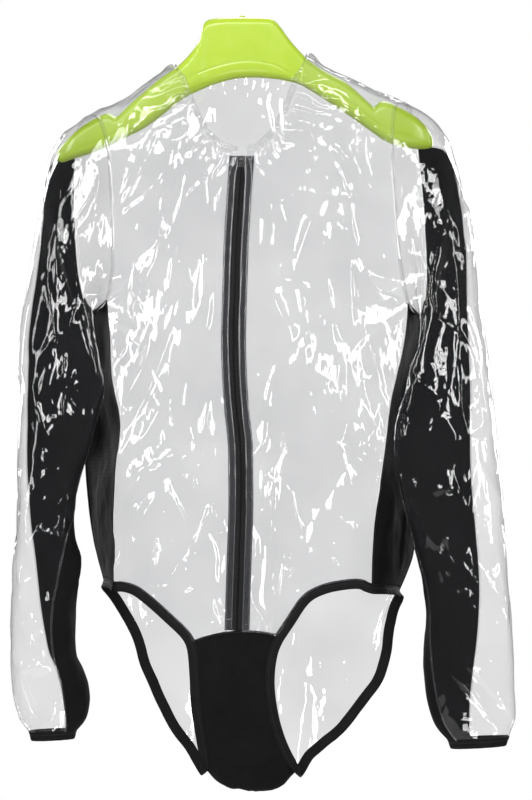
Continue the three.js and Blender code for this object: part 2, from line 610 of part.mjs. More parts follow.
// Straight on past a surface's edges, so that its slopes are defined there too.
const NUDGE_U = 1e-3;
const NUDGE_V = 1e-2;
function pastEdges(surface, uu, vv, eu, ev, lastV) {
  const p = surface(uu, vv);
  if (!eu && !ev) return p;
  const nudge = lastV === 1 ? NUDGE_U : NUDGE_V;
  const q = surface(clamp(uu - Math.sign(eu) * NUDGE_U, 0, 1), clamp(vv - Math.sign(ev) * nudge, 0, lastV));
  const step = Math.max(Math.abs(eu) / NUDGE_U, Math.abs(ev) / nudge);
  return p.clone().add(p.clone().sub(q).multiplyScalar(step));
}
const extended = (surface, lastV) => (u, v) => {
  const uu = clamp(u, 0, 1);
  const vv = clamp(v, 0, lastV);
  return pastEdges(surface, uu, vv, u - uu, v - vv, lastV);
};

const EDGES = { R: frontEdges('R'), L: frontEdges('L') };
const frontPoint = (sideName) => extended((u, r) => {
  const e = EDGES[sideName];
  const [a, d] = coons(e.top, e.bottom, e.inner, e.outer, u, r);
  const o = e.outer(r);
  const y = -frontDepth(a, d) + (o[2] + frontDepth(o[0], o[1])) * smooth((u - 0.45) / 0.55);
  return V(gx(a), y, gz(d));
}, ROWS);
const FRONT = { R: frontPoint('R'), L: frontPoint('L') };

// Back panel: one piece, from the wearer's right to the left.
const BACK = {
  R: armSideEdge('R', SEAM.R.back, REAR_CORNER, -1, REAR_SEAM),
  L: armSideEdge('L', SEAM.L.back, REAR_CORNER, -1, REAR_SEAM),
};
const NECK_BACK = [
  [174, 64.3], [175.2, 67.4], [178.6, 69.6], [190, 70.4], [206, 70.6], [242, 70], [278, 68.5],
  [299, 66.5], [304.5, 63.4], [306.8, 58.6], [308, 54],
];
const neckBack = through(NECK_BACK);
const NECK_FROM = 174;              // grid columns of the neck's ends
const NECK_TO = 308;
const N_R = 0.27;                   // where the neck starts along the back's upper edge
const N_L = 0.70;                   // and where it ends
const acrossNeck = (u) => lerp(NECK_FROM, NECK_TO, (u - N_R) / (N_L - N_R));
function backTop(u) {
  if (u >= N_R && u <= N_L) return [acrossNeck(u), neckBack(acrossNeck(u))];
  const a = u < N_R
    ? lerp(BACK.R(0)[0], NECK_FROM, u / N_R)
    : lerp(NECK_TO, BACK.L(0)[0], (u - N_L) / (1 - N_L));
  return [a, shoulder(a)];
}
const G_R = 0.36;                   // where the gusset's rear seam starts along the back's lower edge
const G_L = 0.63;                   // and where it ends
const GUSSET_Y = 13;                // depth of that seam, mm
function backBottom(u) {
  if (u < G_R) return LEG.R.grid(lerp(REAR_SEAM, GUSSET_REAR, u / G_R));
  if (u > G_L) return LEG.L.grid(lerp(GUSSET_REAR, REAR_SEAM, (u - G_L) / (1 - G_L)));
  const t = (u - G_R) / (G_L - G_R);
  const p = LEG.R.grid(GUSSET_REAR);
  const q = LEG.L.grid(GUSSET_REAR);
  return [lerp(p[0], q[0], t), lerp(p[1], q[1], t) - 1.5 * Math.sin(Math.PI * t), GUSSET_Y];
}
const AT_SIDE = 0.30;               // share of the back's width that follows its edges
const BESIDE_LEG = 40;              // grid units the panel widens by between the leg openings
const backPoint = extended((u, r) => {
  let [a, d] = coons(backTop, backBottom, BACK.R, BACK.L, u, r);
  // beside the leg openings the panel stays inside the edge
  if (u > 0 && u < 1 && r < ROWS) {
    const low = smooth((d - 578) / 14) * clamp((ROWS - r) / 0.6, 0, 1);
    a = lerp(a, Math.max(a, rearEdge.R(d) + BESIDE_LEG * u), low);
    a = lerp(a, Math.min(a, rearEdge.L(d) - BESIDE_LEG * (1 - u)), low);
  }
  const oR = BACK.R(r);
  const oL = BACK.L(r);
  const right = (oR[2] - backDepth(oR[0], oR[1])) * smooth((AT_SIDE - u) / AT_SIDE);
  const left = (oL[2] - backDepth(oL[0], oL[1])) * smooth((u - 1 + AT_SIDE) / AT_SIDE);
  // the lower edge takes its depth from the leg openings and the gusset
  const low = smooth((r - (ROWS - 7)) / 7);
  const [footA, footD, footY] = backBottom(u);
  const y = backDepth(a, d) + right + left + low * (footY - backDepth(footA, footD) - right - left);
  return V(gx(a), y, gz(d));
}, ROWS);

// Side panel between the two seams, armhole above, leg opening below.
const sidePoint = (sideName) => extended((u, v) => {
  const arm = ARM[sideName];
  const hole = LEG[sideName];
  const row = lerp(ARM_ROW, ROWS, v);
  const toV = (g) => V(gx(g[0]), g[2], gz(g[1]));
  const F = toV(EDGES[sideName].outer(row));
  const B = toV(BACK[sideName](row));
  const T = arm.at(0, lerp(FRONT_CORNER, REAR_CORNER, u));
  const L = hole.at(lerp(hole.n, REAR_SEAM, u));
  const upper = arm.at(0, FRONT_CORNER).lerp(arm.at(0, REAR_CORNER), u);
  const lower = hole.at(0).lerp(hole.at(REAR_SEAM), u);
  const p = V(0, 0, 0);
  p.addScaledVector(T, 1 - v).addScaledVector(L, v).addScaledVector(F, 1 - u).addScaledVector(B, u);
  p.addScaledVector(upper, v - 1).addScaledVector(lower, -v);
  const inward = sideName === 'R' ? 1 : -1;
  const across = Math.sin(Math.PI * u);
  const hollow = 5.5 * across * smooth(v / 0.12) * smooth((0.8 - v) / 0.3);
  const waves = 1.8 * across * Math.sin(v * 19 + u * 4) * smooth(v / 0.2) * smooth((1 - v) / 0.2);
  p.x += inward * (hollow - waves);
  return p;
}, 1);

// Gusset.
// One strip from the front seam down, round the fold and up to the rear seam.
const gussetPoint = extended((u, s) => {
  const place = lerp(GUSSET_FRONT, GUSSET_REAR, s);
  const p = LEG.R.at(place).lerp(LEG.L.at(place), u);
  const arc = 1 - Math.abs(2 * u - 1) ** lerp(2, 3.6, smooth((s - 0.3) / 0.4));
  // the upper seam is highest in the middle, the fold lowest
  const high = 6.5 * (1 - smooth(s / 0.35));
  const fold = 19 * smooth((s - 0.35) / 0.45) * (1 - smooth((s - 0.9) / 0.1));
  const rear = 1.5 * smooth((s - 0.9) / 0.1);
  p.z += arc * GRID * (high - fold + rear);
  p.y += arc * Math.sin(Math.PI * s) * (1.4 * Math.sin(u * 9 + s * 7) - 4);
  return p;
}, 1);

// Bindings and bands.
// A strip beside a curve: curve(s), free(s) = hint of the free side, ripple(s) = mm out of plane.
function strip(name, curve, free, list, width, thick, closed, ripple, gap, flat) {
  const out = [];
  const e = 0.02;
  const h = thick / 2;
  for (const s of list) {
    const p = curve(s);
    const t = curve(s + e).sub(curve(s - e)).normalize();
    const g = free(s).normalize();
    const m = g.addScaledVector(t, -g.dot(t)).normalize();
    const n = t.clone().cross(m).normalize();
    const r = ripple(s);
    const a = p.clone().addScaledVector(m, gap);
    const b = p.clone().addScaledVector(m, gap + width).addScaledVector(n, r);
    const mid = mean(a, b).addScaledVector(n, r * 0.25);
    const off = (q, by) => q.clone().addScaledVector(n, by);
    if (flat) out.push([off(a, h), off(b, h), off(b, -h), off(a, -h)]);
    else {
      const front = [off(a, h * 0.8), off(mid, h), off(b, h * 0.8)];
      out.push([...front, off(b, -h * 0.8), off(mid, -h), off(a, -h * 0.8)]);
    }
  }
  return rings(name, out, closed);
}
const wave = (s, list) => list.reduce((sum, [amp, freq, phase]) => sum + amp * Math.sin(s * freq + phase), 0);

// Hanger.
// columns: across, top down, bottom down, half depth mm, ridge down
const HANGER = [
  [55.5, 152.5, 156.5, 7, 155], [56.5, 149.5, 158.5, 12, 155], [58.5, 146.5, 160, 16, 155],
  [63, 141, 160, 19.5, 153], [70, 134, 157, 22, 149.5], [81, 124.5, 154, 23, 146],
  [94, 117, 149.5, 23.4, 141.5],
  [102, 113, 146, 23.6, 138.4], [106, 111.8, 144.3, 23.6, 137], [110.5, 112.4, 142, 23.6, 134.6],
  [115.4, 115.4, 139.8, 23.6, 131.6], [120.5, 111, 137, 23.6, 128.4],
  [129, 102.4, 133, 23.4, 122.8], [139, 94, 128, 23.2, 116], [149, 85.4, 121.6, 23, 108.6],
  [161, 75.2, 112.6, 22.6, 98.4], [173, 67.6, 102.6, 22.2, 88], [183, 59, 95.2, 22, 81.6],
  [188.5, 52.8, 92.2, 21.8, 78.2], [193, 47.5, 90, 21.6, 74.8], [197, 41, 88, 21.4, 72.4],
  [200, 34, 86.6, 21.2, 70.8], [201.5, 28, 85.8, 21, 70], [203, 22.6, 85.2, 20.8, 69.2],
  [206, 19, 83.8, 20.4, 67.6], [210, 17, 82, 20, 66], [220, 15.6, 78.8, 20, 62.6],
  [232, 15.1, 75.6, 20, 60.7], [246, 15, 74.2, 20, 60], [258, 15.1, 74.1, 20, 60.9],
  [266, 15.4, 74.6, 20, 62], [271, 16, 75.2, 20.2, 63], [275, 18.6, 75.8, 20.5, 64.4],
  [279.6, 23.6, 76.4, 20.8, 66],
  [284, 29.6, 77.4, 21.1, 67.8], [289, 36.6, 78.6, 21.3, 70.4], [295, 43.8, 80, 21.5, 73.6],
  [301, 50.4, 82, 21.8, 76.8], [310, 59.2, 87.2, 22.2, 80.6], [322, 67.2, 94.6, 22.6, 85.4],
  [334, 74, 102, 23.2, 90.6], [346, 80.2, 110.2, 23.8, 96.8],
  [356, 88.6, 117.2, 23.4, 104], [364, 96, 123, 23.6, 110], [371, 102.2, 128, 23.6, 115.6],
  [374.5, 105.6, 130.6, 23.6, 118.6], [378, 102.2, 133, 23.6, 121.4], [385, 98.8, 138, 23.6, 126],
  [398, 104.6, 143.2, 23.4, 131], [412, 112, 146, 23, 134.6], [422, 119.4, 146.6, 21.6, 136.6],
  [428.5, 126.4, 146.4, 19, 139], [432, 132.6, 145.6, 15, 141.4], [433.6, 137.6, 144, 10, 142],
  [434.2, 140, 143, 6, 142],
];
// The hanger's half section, from the top down.
// columns: share of the half depth, drop below the top in mm, but at most this share of the height
const HANGER_TOP = [[0.34, 0, 0], [0.74, 2.6, 0.1], [0.94, 7, 0.2], [1, 13, 0.28]];
const HANGER_FOOT = 0.74;           // share of the half depth at the lower edge
function hangerMesh() {
  const list = HANGER.map(([a, top, bottom, half, ridge]) => {
    const x = gx(a);
    const zt = gz(top);
    const zb = gz(bottom);
    const high = zt - zb;
    const zr = clamp(gz(ridge), zb + 0.12 * high, zt - 0.3 * high);
    const shape = HANGER_TOP.map(([k, drop, share]) => [k, zt - Math.min(drop, share * high)]);
    shape.push([1, zr], [HANGER_FOOT, zb]);
    const front = shape.map(([k, z]) => V(x, -k * half, z));
    const rear = shape.reverse().map(([k, z]) => V(x, k * half, z));
    return [...front, ...rear];
  });
  return rings('hanger', list, false);
}

const wasm = await Module();
wasm.setup();
function toManifold(geometry) {
  const bare = geometry.clone();
  bare.deleteAttribute('normal');
  bare.deleteAttribute('uv');
  const g = mergeVertices(bare, 1e-4);
  return new wasm.Manifold(new wasm.Mesh({
    numProp: 3,
    vertProperties: new Float32Array(g.attributes.position.array),
    triVerts: new Uint32Array(g.index.array),
  }));
}
function fromManifold(name, man) {
  const m = man.getMesh();
  const pts = [];
  for (let i = 0; i < m.vertProperties.length; i += m.numProp) pts.push(V(...m.vertProperties.slice(i, i + 3)));
  return solid(name, pts, Array.from(m.triVerts));
}

// Build.
const root = new THREE.Group();
root.name = 'rain_coat_on_hanger';

{ // hanger with the small boss on its top
  const boss = new THREE.CylinderGeometry(BOSS_TOP_R, BOSS_FOOT_R, BOSS_HIGH, 20);
  boss.rotateX(Math.PI / 2).translate(0, 0, BOSS_TOP - BOSS_HIGH / 2);
  root.add(fromManifold('hanger', toManifold(hangerMesh().geometry).add(toManifold(boss))));
}

// Stations across each panel, and how far its edges stop short of the seams.
const FRONT_ACROSS = [0, 0.06, 0.13, 0.21, 0.3, 0.39, 0.48, 0.57, 0.66, 0.75, 0.84, 0.92, 1];
const FRONT_PULL = [0.15, 0.35, 0.2, 0.5];
const BACK_ACROSS = [
  0, 0.035, 0.075, 0.12, 0.17, 0.22, N_R, 0.274, 0.285, 0.325, G_R, 0.425, 0.495,
  0.565, G_L, 0.672, 0.689, 0.696, N_L, 0.75, 0.8, 0.85, 0.9, 0.94, 0.97, 1,
];
const BACK_ROWS = [
  0, 1, 2, 3, 4.2, 6, 8, 10, 12, 14, 15.6, ARM_ROW, 18.6, 20.4, 22.2, 24, 25.6, 27.2, 28.7, 30, 31, ROWS,
];
root.add(wall('front_right', FRONT.R, FRONT_ACROSS, steps(0, ROWS, ROWS), FILM, FRONT_PULL));
root.add(wall('front_left', FRONT.L, FRONT_ACROSS, steps(0, ROWS, ROWS), FILM, FRONT_PULL));
root.add(wall('back', backPoint, BACK_ACROSS, BACK_ROWS, FILM, [0.3, 0.3, 0.2, 0.9]));

// The cuff is a gathered elastic ring below the sleeve's last ring.
// columns: share of the radius it draws in by, drop, how far its faces stand off the sleeve's line
const CUFF = [
  [0, 0.4, 1.0], [0.05, 5, 1.2], [0.1, 9.6, 0.9], [0.1, 9.6, -0.9], [0.05, 5, -1.0],
  [0, 0.4, -1.0],
];
const CUFF_POINTS = 32;
const CUFF_RIPPLE = 0.05;           // mm per mm of drop
function cuff(name, arm) {
  const centre = mean(arm.at(LAST_RING, 0), arm.at(LAST_RING, 180));
  const list = steps(0, 360, CUFF_POINTS).slice(0, -1).map((deg, i) => {
    const p = arm.at(LAST_RING, deg);
    const r = p.clone().sub(centre).setZ(0);
    const dir = r.clone().normalize();
    const ripple = CUFF_RIPPLE * Math.cos(i * Math.PI);
    return CUFF.map(([shrink, drop, off]) => {
      const q = p.clone().addScaledVector(dir, -shrink * r.length() + ripple * drop + off);
      return q.add(V(0, 0, -drop));
    });
  });
  return rings(name, list, true);
}

const LEG_POINTS = 66;
const LEG_RIPPLE = { R: [[1.6, 5.2, 0.4], [0.8, 2.9, 2]], L: [[1.6, 5.2, 1.7], [0.8, 2.9, 2]] };
for (const [s, word] of [['R', 'right'], ['L', 'left']]) {
  root.add(wall(`side_${word}`, sidePoint(s), steps(0, 1, 5), steps(0, 1, 18), FABRIC, [0.8, 2.9, 0.7, 0.7]));
  const arm = ARM[s];
  const ring = (k) => clamp(k, 0, LAST_RING);
  const clear = (t, k) => arm.at(k, lerp(arm.from(ring(k)), 360 + arm.to(ring(k)), t));
  const black = (t, k) => arm.at(k, lerp(arm.to(ring(k)), arm.from(ring(k)), t));
  const down = steps(0, LAST_RING, 24);
  root.add(wall(`sleeve_${word}_clear`, clear, steps(0, 1, 12), down, FILM, [0.2, 0.2, 1.0, 0.2]));
  root.add(wall(`sleeve_${word}_black`, black, steps(0, 1, 6), down, FABRIC, [0.2, 0.2, 1.8, 0.2]));
  root.add(cuff(`cuff_${word}`, arm));
  const hole = LEG[s];
  const ripple = (q) => {
    const rear = smooth((q - GUSSET_REAR) / 2) * smooth((REAR_SEAM + 0.5 - q) / 1.5);
    return rear * wave(q, LEG_RIPPLE[s]);
  };
  const round = steps(0, hole.n, LEG_POINTS).slice(0, -1);
  root.add(strip(`leg_binding_${word}`, hole.at, hole.free, round, RIM, RIM_T, true, ripple, 2 * GAP, false));
}
root.add(wall('gusset', gussetPoint, steps(0, 1, 8), steps(0, 1, 20), FABRIC, [1.5, 1.5, 0.5, 1.6]));

// The zip tapes lie behind the fronts' inner edges.
const TAPE_FROM = 156.5;            // grid rows of the tapes' ends
const TAPE_TO = 630;
for (const [word, sign] of [['right', -1], ['left', 1]]) {
  const tape = (t, d) => {
    const a = zipAcross(d) + sign * lerp(0.15, TAPE_W, t) / GRID;
    return V(gx(a), -frontPlain(a, d), gz(d));
  };
  const rows = steps(TAPE_FROM, TAPE_TO, 26);
  root.add(wall(`zip_tape_${word}`, tape, [0, 0.45, 1], rows, TAPE, [0, 0, 0, 0], sign * TAPE_BEHIND));
}

// Gathered strip round the neck: down the right front, round the back, down the left front.
const GATHERS = 30;
const GATHER_POINTS = 5;            // stations per gather
const GATHER_HIGH = 1.5;            // mm
const SOFT = 4;                     // mm over which the strip's path is rounded at the shoulder points
{
  const path = [
    ...steps(NECK_ROW, 0, 240).map((r) => FRONT.R(0, r)),
    ...steps(N_R, N_L, 200).slice(1).map((u) => backPoint(u, 0)),
    ...steps(0, NECK_ROW, 240).slice(1).map((r) => FRONT.L(0, r)),
  ];
  const run = [0];
  for (let i = 1; i < path.length; i++) run.push(run[i - 1] + path[i].distanceTo(path[i - 1]));
  const total = run[run.length - 1];
  const at = (l) => {
    let i = 0;
    while (i < run.length - 2 && run[i + 1] < l) i++;
    return path[i].clone().lerp(path[i + 1], (l - run[i]) / (run[i + 1] - run[i]));
  };
  const soft = (place) => {
    const l = clamp(place, 0, total);
    const w = Math.min(SOFT, l, total - l);
    return mean(mean(at(l - w), at(l + w)), at(l));
  };
  const hub = V(0, 0, gz(-20));
  const free = (l) => {
    const g = hub.clone().sub(soft(l));
    g.y *= 0.25;
    return g.normalize();
  };
  const pitch = total / GATHERS;
  const ripple = (l) => GATHER_HIGH * Math.sin(2 * Math.PI * l / pitch + 0.9 * Math.sin(7 * l / total));
  const list = steps(1.2, total - 1.2, GATHERS * GATHER_POINTS);
  root.add(strip('neckband', soft, free, list, BAND, FILM, false, ripple, GAP + 0.35, true));
}

// Zip slider, standing on the tapes at the top of the zip.
// columns: mm below the slider's top, half width, height above the tapes
const SLIDER = [
  [0, 2.6, 1.6], [0.8, 3.8, 2.6], [4, 4.4, 3.0], [6.5, 4.0, 4.2], [9, 3.6, 3.0], [12.6, 3.2, 2.4],
  [13.4, 2.2, 1.4],
];
const SLIDER_TOP = 157.2;           // its grid row
const SLIDER_FOOT = 0.75;           // mm from the tapes' middle surface to its foot
const SLIDER_BEVEL = 0.6;
root.add(rings('zip_slider', SLIDER.map(([drop, half, high]) => {
  const d = SLIDER_TOP + drop / GRID;
  const a = zipAcross(d);
  const foot = SLIDER_FOOT - frontPlain(a, d);
  const shape = [
    [-half, 0], [-half, high * SLIDER_BEVEL], [-half * SLIDER_BEVEL, high],
    [half * SLIDER_BEVEL, high], [half, high * SLIDER_BEVEL], [half, 0],
  ];
  return shape.map(([wide, out]) => V(gx(a) + wide, foot - out, gz(d)));
}), false));

export default root;
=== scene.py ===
# %% [markdown]
# # A transparent rain coat on its hanger
# The coat is a body suit of clear film with black stretch panels, hanging empty on a broad lime hanger.
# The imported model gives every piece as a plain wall. This lesson turns each wall into cloth: it keeps the
# wall's outer face, makes it fine, creases it, and gives it back a thin, true thickness.

# %% The frame and the units
import math

import bmesh
import bpy
import numpy as np
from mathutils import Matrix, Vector
from mathutils.bvhtree import BVHTree
from mathutils.kdtree import KDTree


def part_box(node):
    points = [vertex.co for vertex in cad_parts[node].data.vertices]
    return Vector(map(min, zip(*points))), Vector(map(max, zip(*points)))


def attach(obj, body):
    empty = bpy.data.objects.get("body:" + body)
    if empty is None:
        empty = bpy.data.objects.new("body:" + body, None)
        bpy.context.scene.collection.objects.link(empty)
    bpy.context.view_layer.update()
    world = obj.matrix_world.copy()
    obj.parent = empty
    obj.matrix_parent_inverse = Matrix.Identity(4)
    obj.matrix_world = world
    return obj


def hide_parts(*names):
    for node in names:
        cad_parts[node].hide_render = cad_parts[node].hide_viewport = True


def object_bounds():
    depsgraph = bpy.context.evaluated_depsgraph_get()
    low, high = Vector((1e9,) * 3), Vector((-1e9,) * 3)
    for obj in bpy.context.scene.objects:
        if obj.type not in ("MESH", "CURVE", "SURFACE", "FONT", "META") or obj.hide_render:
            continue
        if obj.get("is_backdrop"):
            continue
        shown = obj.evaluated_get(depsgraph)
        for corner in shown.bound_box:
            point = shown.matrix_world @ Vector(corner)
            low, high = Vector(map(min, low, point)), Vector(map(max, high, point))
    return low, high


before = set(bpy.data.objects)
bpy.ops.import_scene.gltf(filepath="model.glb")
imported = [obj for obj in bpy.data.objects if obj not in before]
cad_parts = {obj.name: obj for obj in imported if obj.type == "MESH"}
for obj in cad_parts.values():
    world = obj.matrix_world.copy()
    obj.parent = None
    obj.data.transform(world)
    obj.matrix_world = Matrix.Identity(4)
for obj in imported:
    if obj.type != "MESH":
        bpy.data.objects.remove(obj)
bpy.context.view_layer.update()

MM = 0.001
GRID = 1.2 * MM                 # one unit of the drawing grid that the fold tables use
MID_ACROSS, TOP_DOWN = 242, 15  # its column and row at the hang point
PHOTO_WIDE, PHOTO_HIGH = 532, 800


def across(x):
    return x / GRID + MID_ACROSS


def down(z):
    return TOP_DOWN - z / GRID


def middle(*nodes):
    """Middle of the boxes of some nodes."""
    corners = [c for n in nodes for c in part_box(n)]
    low = [min(c[k] for c in corners) for k in range(3)]
    high = [max(c[k] for c in corners) for k in range(3)]
    return Vector([(a + b) / 2 for a, b in zip(low, high)])


SIDES = ("right", "left")       # the wearer's sides; the wearer's right is at -X
BODY_AXIS = middle("front_right", "front_left", "back")
SLEEVE_AXIS = {s: middle(f"sleeve_{s}_clear", f"sleeve_{s}_black") for s in SIDES}

# %% [markdown]
# ## Camera
# The photo is taken straight from the front with a long lens, so a long lens it is. One photo pixel is
# 1.2 mm of coat, which sets how much the camera sees.

# %% Camera
CAMERA_AWAY = 6.0
SLEEVE_PLANE = -0.04            # depth at which one pixel is exactly one grid unit
view_high = PHOTO_HIGH * GRID
camera_data = bpy.data.cameras.new("camera")
camera_data.sensor_fit = "VERTICAL"
camera_data.sensor_height = 24
camera_data.lens = camera_data.sensor_height * CAMERA_AWAY / view_high
camera = bpy.data.objects.new("camera", camera_data)
camera.location = (
    (PHOTO_WIDE / 2 - MID_ACROSS) * GRID,
    SLEEVE_PLANE - CAMERA_AWAY,
    (TOP_DOWN - PHOTO_HIGH / 2) * GRID,
)
camera.rotation_euler = (math.pi / 2, 0, 0)
bpy.context.scene.collection.objects.link(camera)
bpy.context.scene.camera = camera
print("lens", round(camera_data.lens, 1), "mm")

# %% [markdown]
# ## Finishes
# Film, knit, elastic and moulded plastic each get a small node tree. Object coordinates are metres on the
# coat, so a scale of 400 is a pattern of 2.5 mm.


# %% A helper for node trees
class Finish:
    """A material with one Principled shader, and short ways to add nodes to it."""

    def __init__(self, name, color, rough, **sockets):
        self.material = bpy.data.materials.new(name)
        self.material.use_nodes = True
        self.tree = self.material.node_tree
        self.shader = next(n for n in self.tree.nodes if n.type == "BSDF_PRINCIPLED")
        self.set(**{"Base Color": (*color, 1), "Roughness": rough})
        self.set(**sockets)
        self.place = self.node("ShaderNodeTexCoord").outputs["Object"]

    def set(self, **sockets):
        for name, value in sockets.items():
            self.shader.inputs[name].default_value = value

    def node(self, kind, links=(), **values):
        made = self.tree.nodes.new(kind)
        for key, value in values.items():
            if hasattr(made, key):
                setattr(made, key, value)
        for key, value in values.items():
            if not hasattr(made, key):
                made.inputs[key].default_value = value
        for socket, source in dict(links).items():
            self.tree.links.new(source, made.inputs[socket])
        return made

    def noise(self, scale, detail=3.0, rough=0.55, stretch=(1, 1, 1), turn=(0, 0, 0)):
        where = self.node("ShaderNodeMapping", {"Vector": self.place}, Scale=stretch, Rotation=turn)
        return self.node(
            "ShaderNodeTexNoise", {"Vector": where.outputs[0]}, Scale=scale, Detail=detail, Roughness=rough
        ).outputs[0]

    def ramp(self, source, low, high, out_low, out_high):
        made = self.node("ShaderNodeMapRange", {"Value": source})
        for k, value in enumerate((low, high, out_low, out_high), start=1):
            made.inputs[k].default_value = value
        return made.outputs[0]

    def mix_color(self, fac, a, b):
        made = self.node("ShaderNodeMix", data_type="RGBA")
        self.tree.links.new(fac, made.inputs[0])
        made.inputs[6].default_value = (*a, 1)
        made.inputs[7].default_value = (*b, 1)
        return made.outputs[2]

    def math(self, operation, a, b=0.0, c=0.0):
        made = self.node("ShaderNodeMath", operation=operation)
        for socket, value in zip(made.inputs, (a, b, c)):
            if isinstance(value, (int, float)):
                socket.default_value = value
            else:
                self.tree.links.new(value, socket)
        return made.outputs[0]

    def into(self, socket, source):
        self.tree.links.new(source, self.shader.inputs[socket])

    def bump(self, height, distance, strength=1.0, under=None):
        links = {"Height": height}
        if under is not None:
            links["Normal"] = under
        made = self.node("ShaderNodeBump", links, Distance=distance, Strength=strength)
        return made.outputs[0]


# %% [markdown]
# ### Clear film
# Soft clear film lets most light through, mirrors a little everywhere and much more where it turns away.
# One Principled shader does it: a low alpha that rises towards the edges, and a strong clear coat for the
# mirror. The mirror is nearly sharp, as on the real film, where the lamps show as patches with clean
# borders. The creases are in the mesh, so the bump only adds a faint slackness between them.


# %% Film
def film(name, alpha, edge_alpha, color, bump=1.0):
    made = Finish(name, color, 0.05, IOR=2.0, **{"Coat Weight": 1.0, "Coat Roughness": 0.02, "Coat IOR": 2.6})
    slack = made.bump(made.noise(48, 2, stretch=(1.3, 1.3, 0.7)), 0.004, 0.3 * bump)
    made.into("Normal", slack)
    made.into("Coat Normal", slack)
    facing = made.node("ShaderNodeLayerWeight", Blend=0.35).outputs["Facing"]
    haze = made.ramp(made.noise(9, 2), 0.35, 0.7, 0.85 * alpha, 1.2 * alpha)
    rim = made.math("POWER", facing, 2.4)
    made.into("Alpha", made.math("MULTIPLY_ADD", rim, edge_alpha, haze))
    return made.material


FILM_FRONT = film("clear_film_front", 0.072, 0.44, (0.34, 0.35, 0.40))
FILM_BACK = film("clear_film_back", 0.15, 0.55, (0.05, 0.054, 0.085), bump=0.7)
FILM_SLEEVE = film("clear_film_sleeve", 0.078, 0.40, (0.03, 0.032, 0.04))
FILM_DOUBLE = film("clear_film_double", 0.12, 0.34, (0.20, 0.203, 0.22), bump=0.5)
FILM_TURNED = film("clear_film_turned", 0.035, 0.12, (0.03, 0.031, 0.034), bump=0.5)
FILM_WELD = film("clear_film_weld", 0.30, 0.30, (0.34, 0.345, 0.36), bump=0.5)

# %% [markdown]
# ### Knit, elastic, tape and plastic
# The black panels are a stretch knit: rows of tiny loops under a soft sheen. The elastic has crosswise
# ribs, the zip tape fine woven rows, the hanger the faint grain of a blow-moulded shell.


# %% Black cloths
def knit():
    made = Finish("black_knit", (0.004, 0.004, 0.0044), 0.8, **{"Sheen Weight": 0.01, "Specular IOR Level": 0.12})
    tone = made.mix_color(made.ramp(made.noise(38, 5), 0.3, 0.7, 0, 1), (0.0025, 0.0025, 0.0028), (0.0055, 0.0055, 0.006))
    made.into("Base Color", tone)
    loops = made.node(
        "ShaderNodeTexWave", {"Vector": made.place}, Scale=190.0, Distortion=1.2, bands_direction="Z"
    ).outputs[1]
    wales = made.node(
        "ShaderNodeTexWave", {"Vector": made.place}, Scale=230.0, Distortion=0.6, bands_direction="X"
    ).outputs[1]
    made.into("Normal", made.bump(made.math("ADD", loops, wales), 0.00022, 0.7, made.bump(made.noise(26, 4), 0.004, 0.5)))
    return made.material


def elastic():
    made = Finish("black_elastic", (0.004, 0.004, 0.0045), 0.7, **{"Sheen Weight": 0.01, "Specular IOR Level": 0.15})
    tone = made.mix_color(made.ramp(made.noise(90, 4), 0.3, 0.7, 0, 1), (0.0025, 0.0025, 0.003), (0.006, 0.006, 0.0065))
    made.into("Base Color", tone)
    made.into("Normal", made.bump(made.noise(420, 3), 0.0005, 0.6, made.bump(made.noise(60, 3), 0.003, 0.5)))
    return made.material


def tape():
    made = Finish("zip_tape", (0.005, 0.005, 0.0055), 0.55, **{"Sheen Weight": 0.01, "Specular IOR Level": 0.2})
    rows = made.node(
        "ShaderNodeTexWave", {"Vector": made.place}, Scale=260.0, Distortion=0.4, bands_direction="Z"
    ).outputs[1]
    made.into("Normal", made.bump(rows, 0.0003, 0.6, made.bump(made.noise(70, 3), 0.002, 0.4)))
    made.into("Base Color", made.mix_color(made.noise(120, 3), (0.003, 0.003, 0.0035), (0.007, 0.007, 0.008)))
    return made.material


def lime():
    made = Finish("lime_plastic", (0.56, 0.79, 0.04), 0.34, **{"Coat Weight": 0.25, "Coat Roughness": 0.18})
    made.set(**{"Subsurface Weight": 0.12, "Subsurface Radius": (0.004, 0.005, 0.001), "Subsurface Scale": 1.0})
    tone = made.mix_color(made.ramp(made.noise(7, 4), 0.3, 0.7, 0, 1), (0.53, 0.76, 0.034), (0.60, 0.83, 0.044))
    made.into("Base Color", tone)
    made.into("Roughness", made.ramp(made.noise(60, 4), 0.3, 0.7, 0.28, 0.42))
    made.into("Normal", made.bump(made.noise(900, 2), 0.0002, 0.35, made.bump(made.noise(20, 2), 0.003, 0.15)))
    return made.material


def black_gloss():
    made = Finish("black_lacquer", (0.006, 0.006, 0.0065), 0.4, **{"Coat Weight": 0.2, "Coat Roughness": 0.2})
    made.into("Roughness", made.ramp(made.noise(300, 3), 0.3, 0.7, 0.32, 0.5))
    return made.material


def thread():
    made = Finish("black_thread", (0.016, 0.016, 0.018), 0.6)
    made.into("Normal", made.bump(made.noise(2200, 1), 0.0001, 0.6))
    return made.material


KNIT, ELASTIC, TAPE, LIME, LACQUER, THREAD = knit(), elastic(), tape(), lime(), black_gloss(), thread()

# %% [markdown]
# ## From wall to sheet
# A packed wall is a closed solid of loose triangles: an outer face, an inner face and a narrow rim. Every
# rim triangle has an edge as short as the wall is thick, so without those the two faces fall apart.
# The outer face is a grid whose cells were cut in two. Its border gives the corners, and from one row the
# next follows: the point that is joined to both the last point found and the point above it.

# %% Reading the outer face of a wall as rows of points
WALL_THICK = (1.3, 1.5, 1.7, 2.1, 2.6)  # mm, tried in turn until the two faces fall apart cleanly
BAND_BEND = (60, 54, 48, 42, 36)        # degrees, the same for the edges of folded bands
WELD = 0.02 * MM


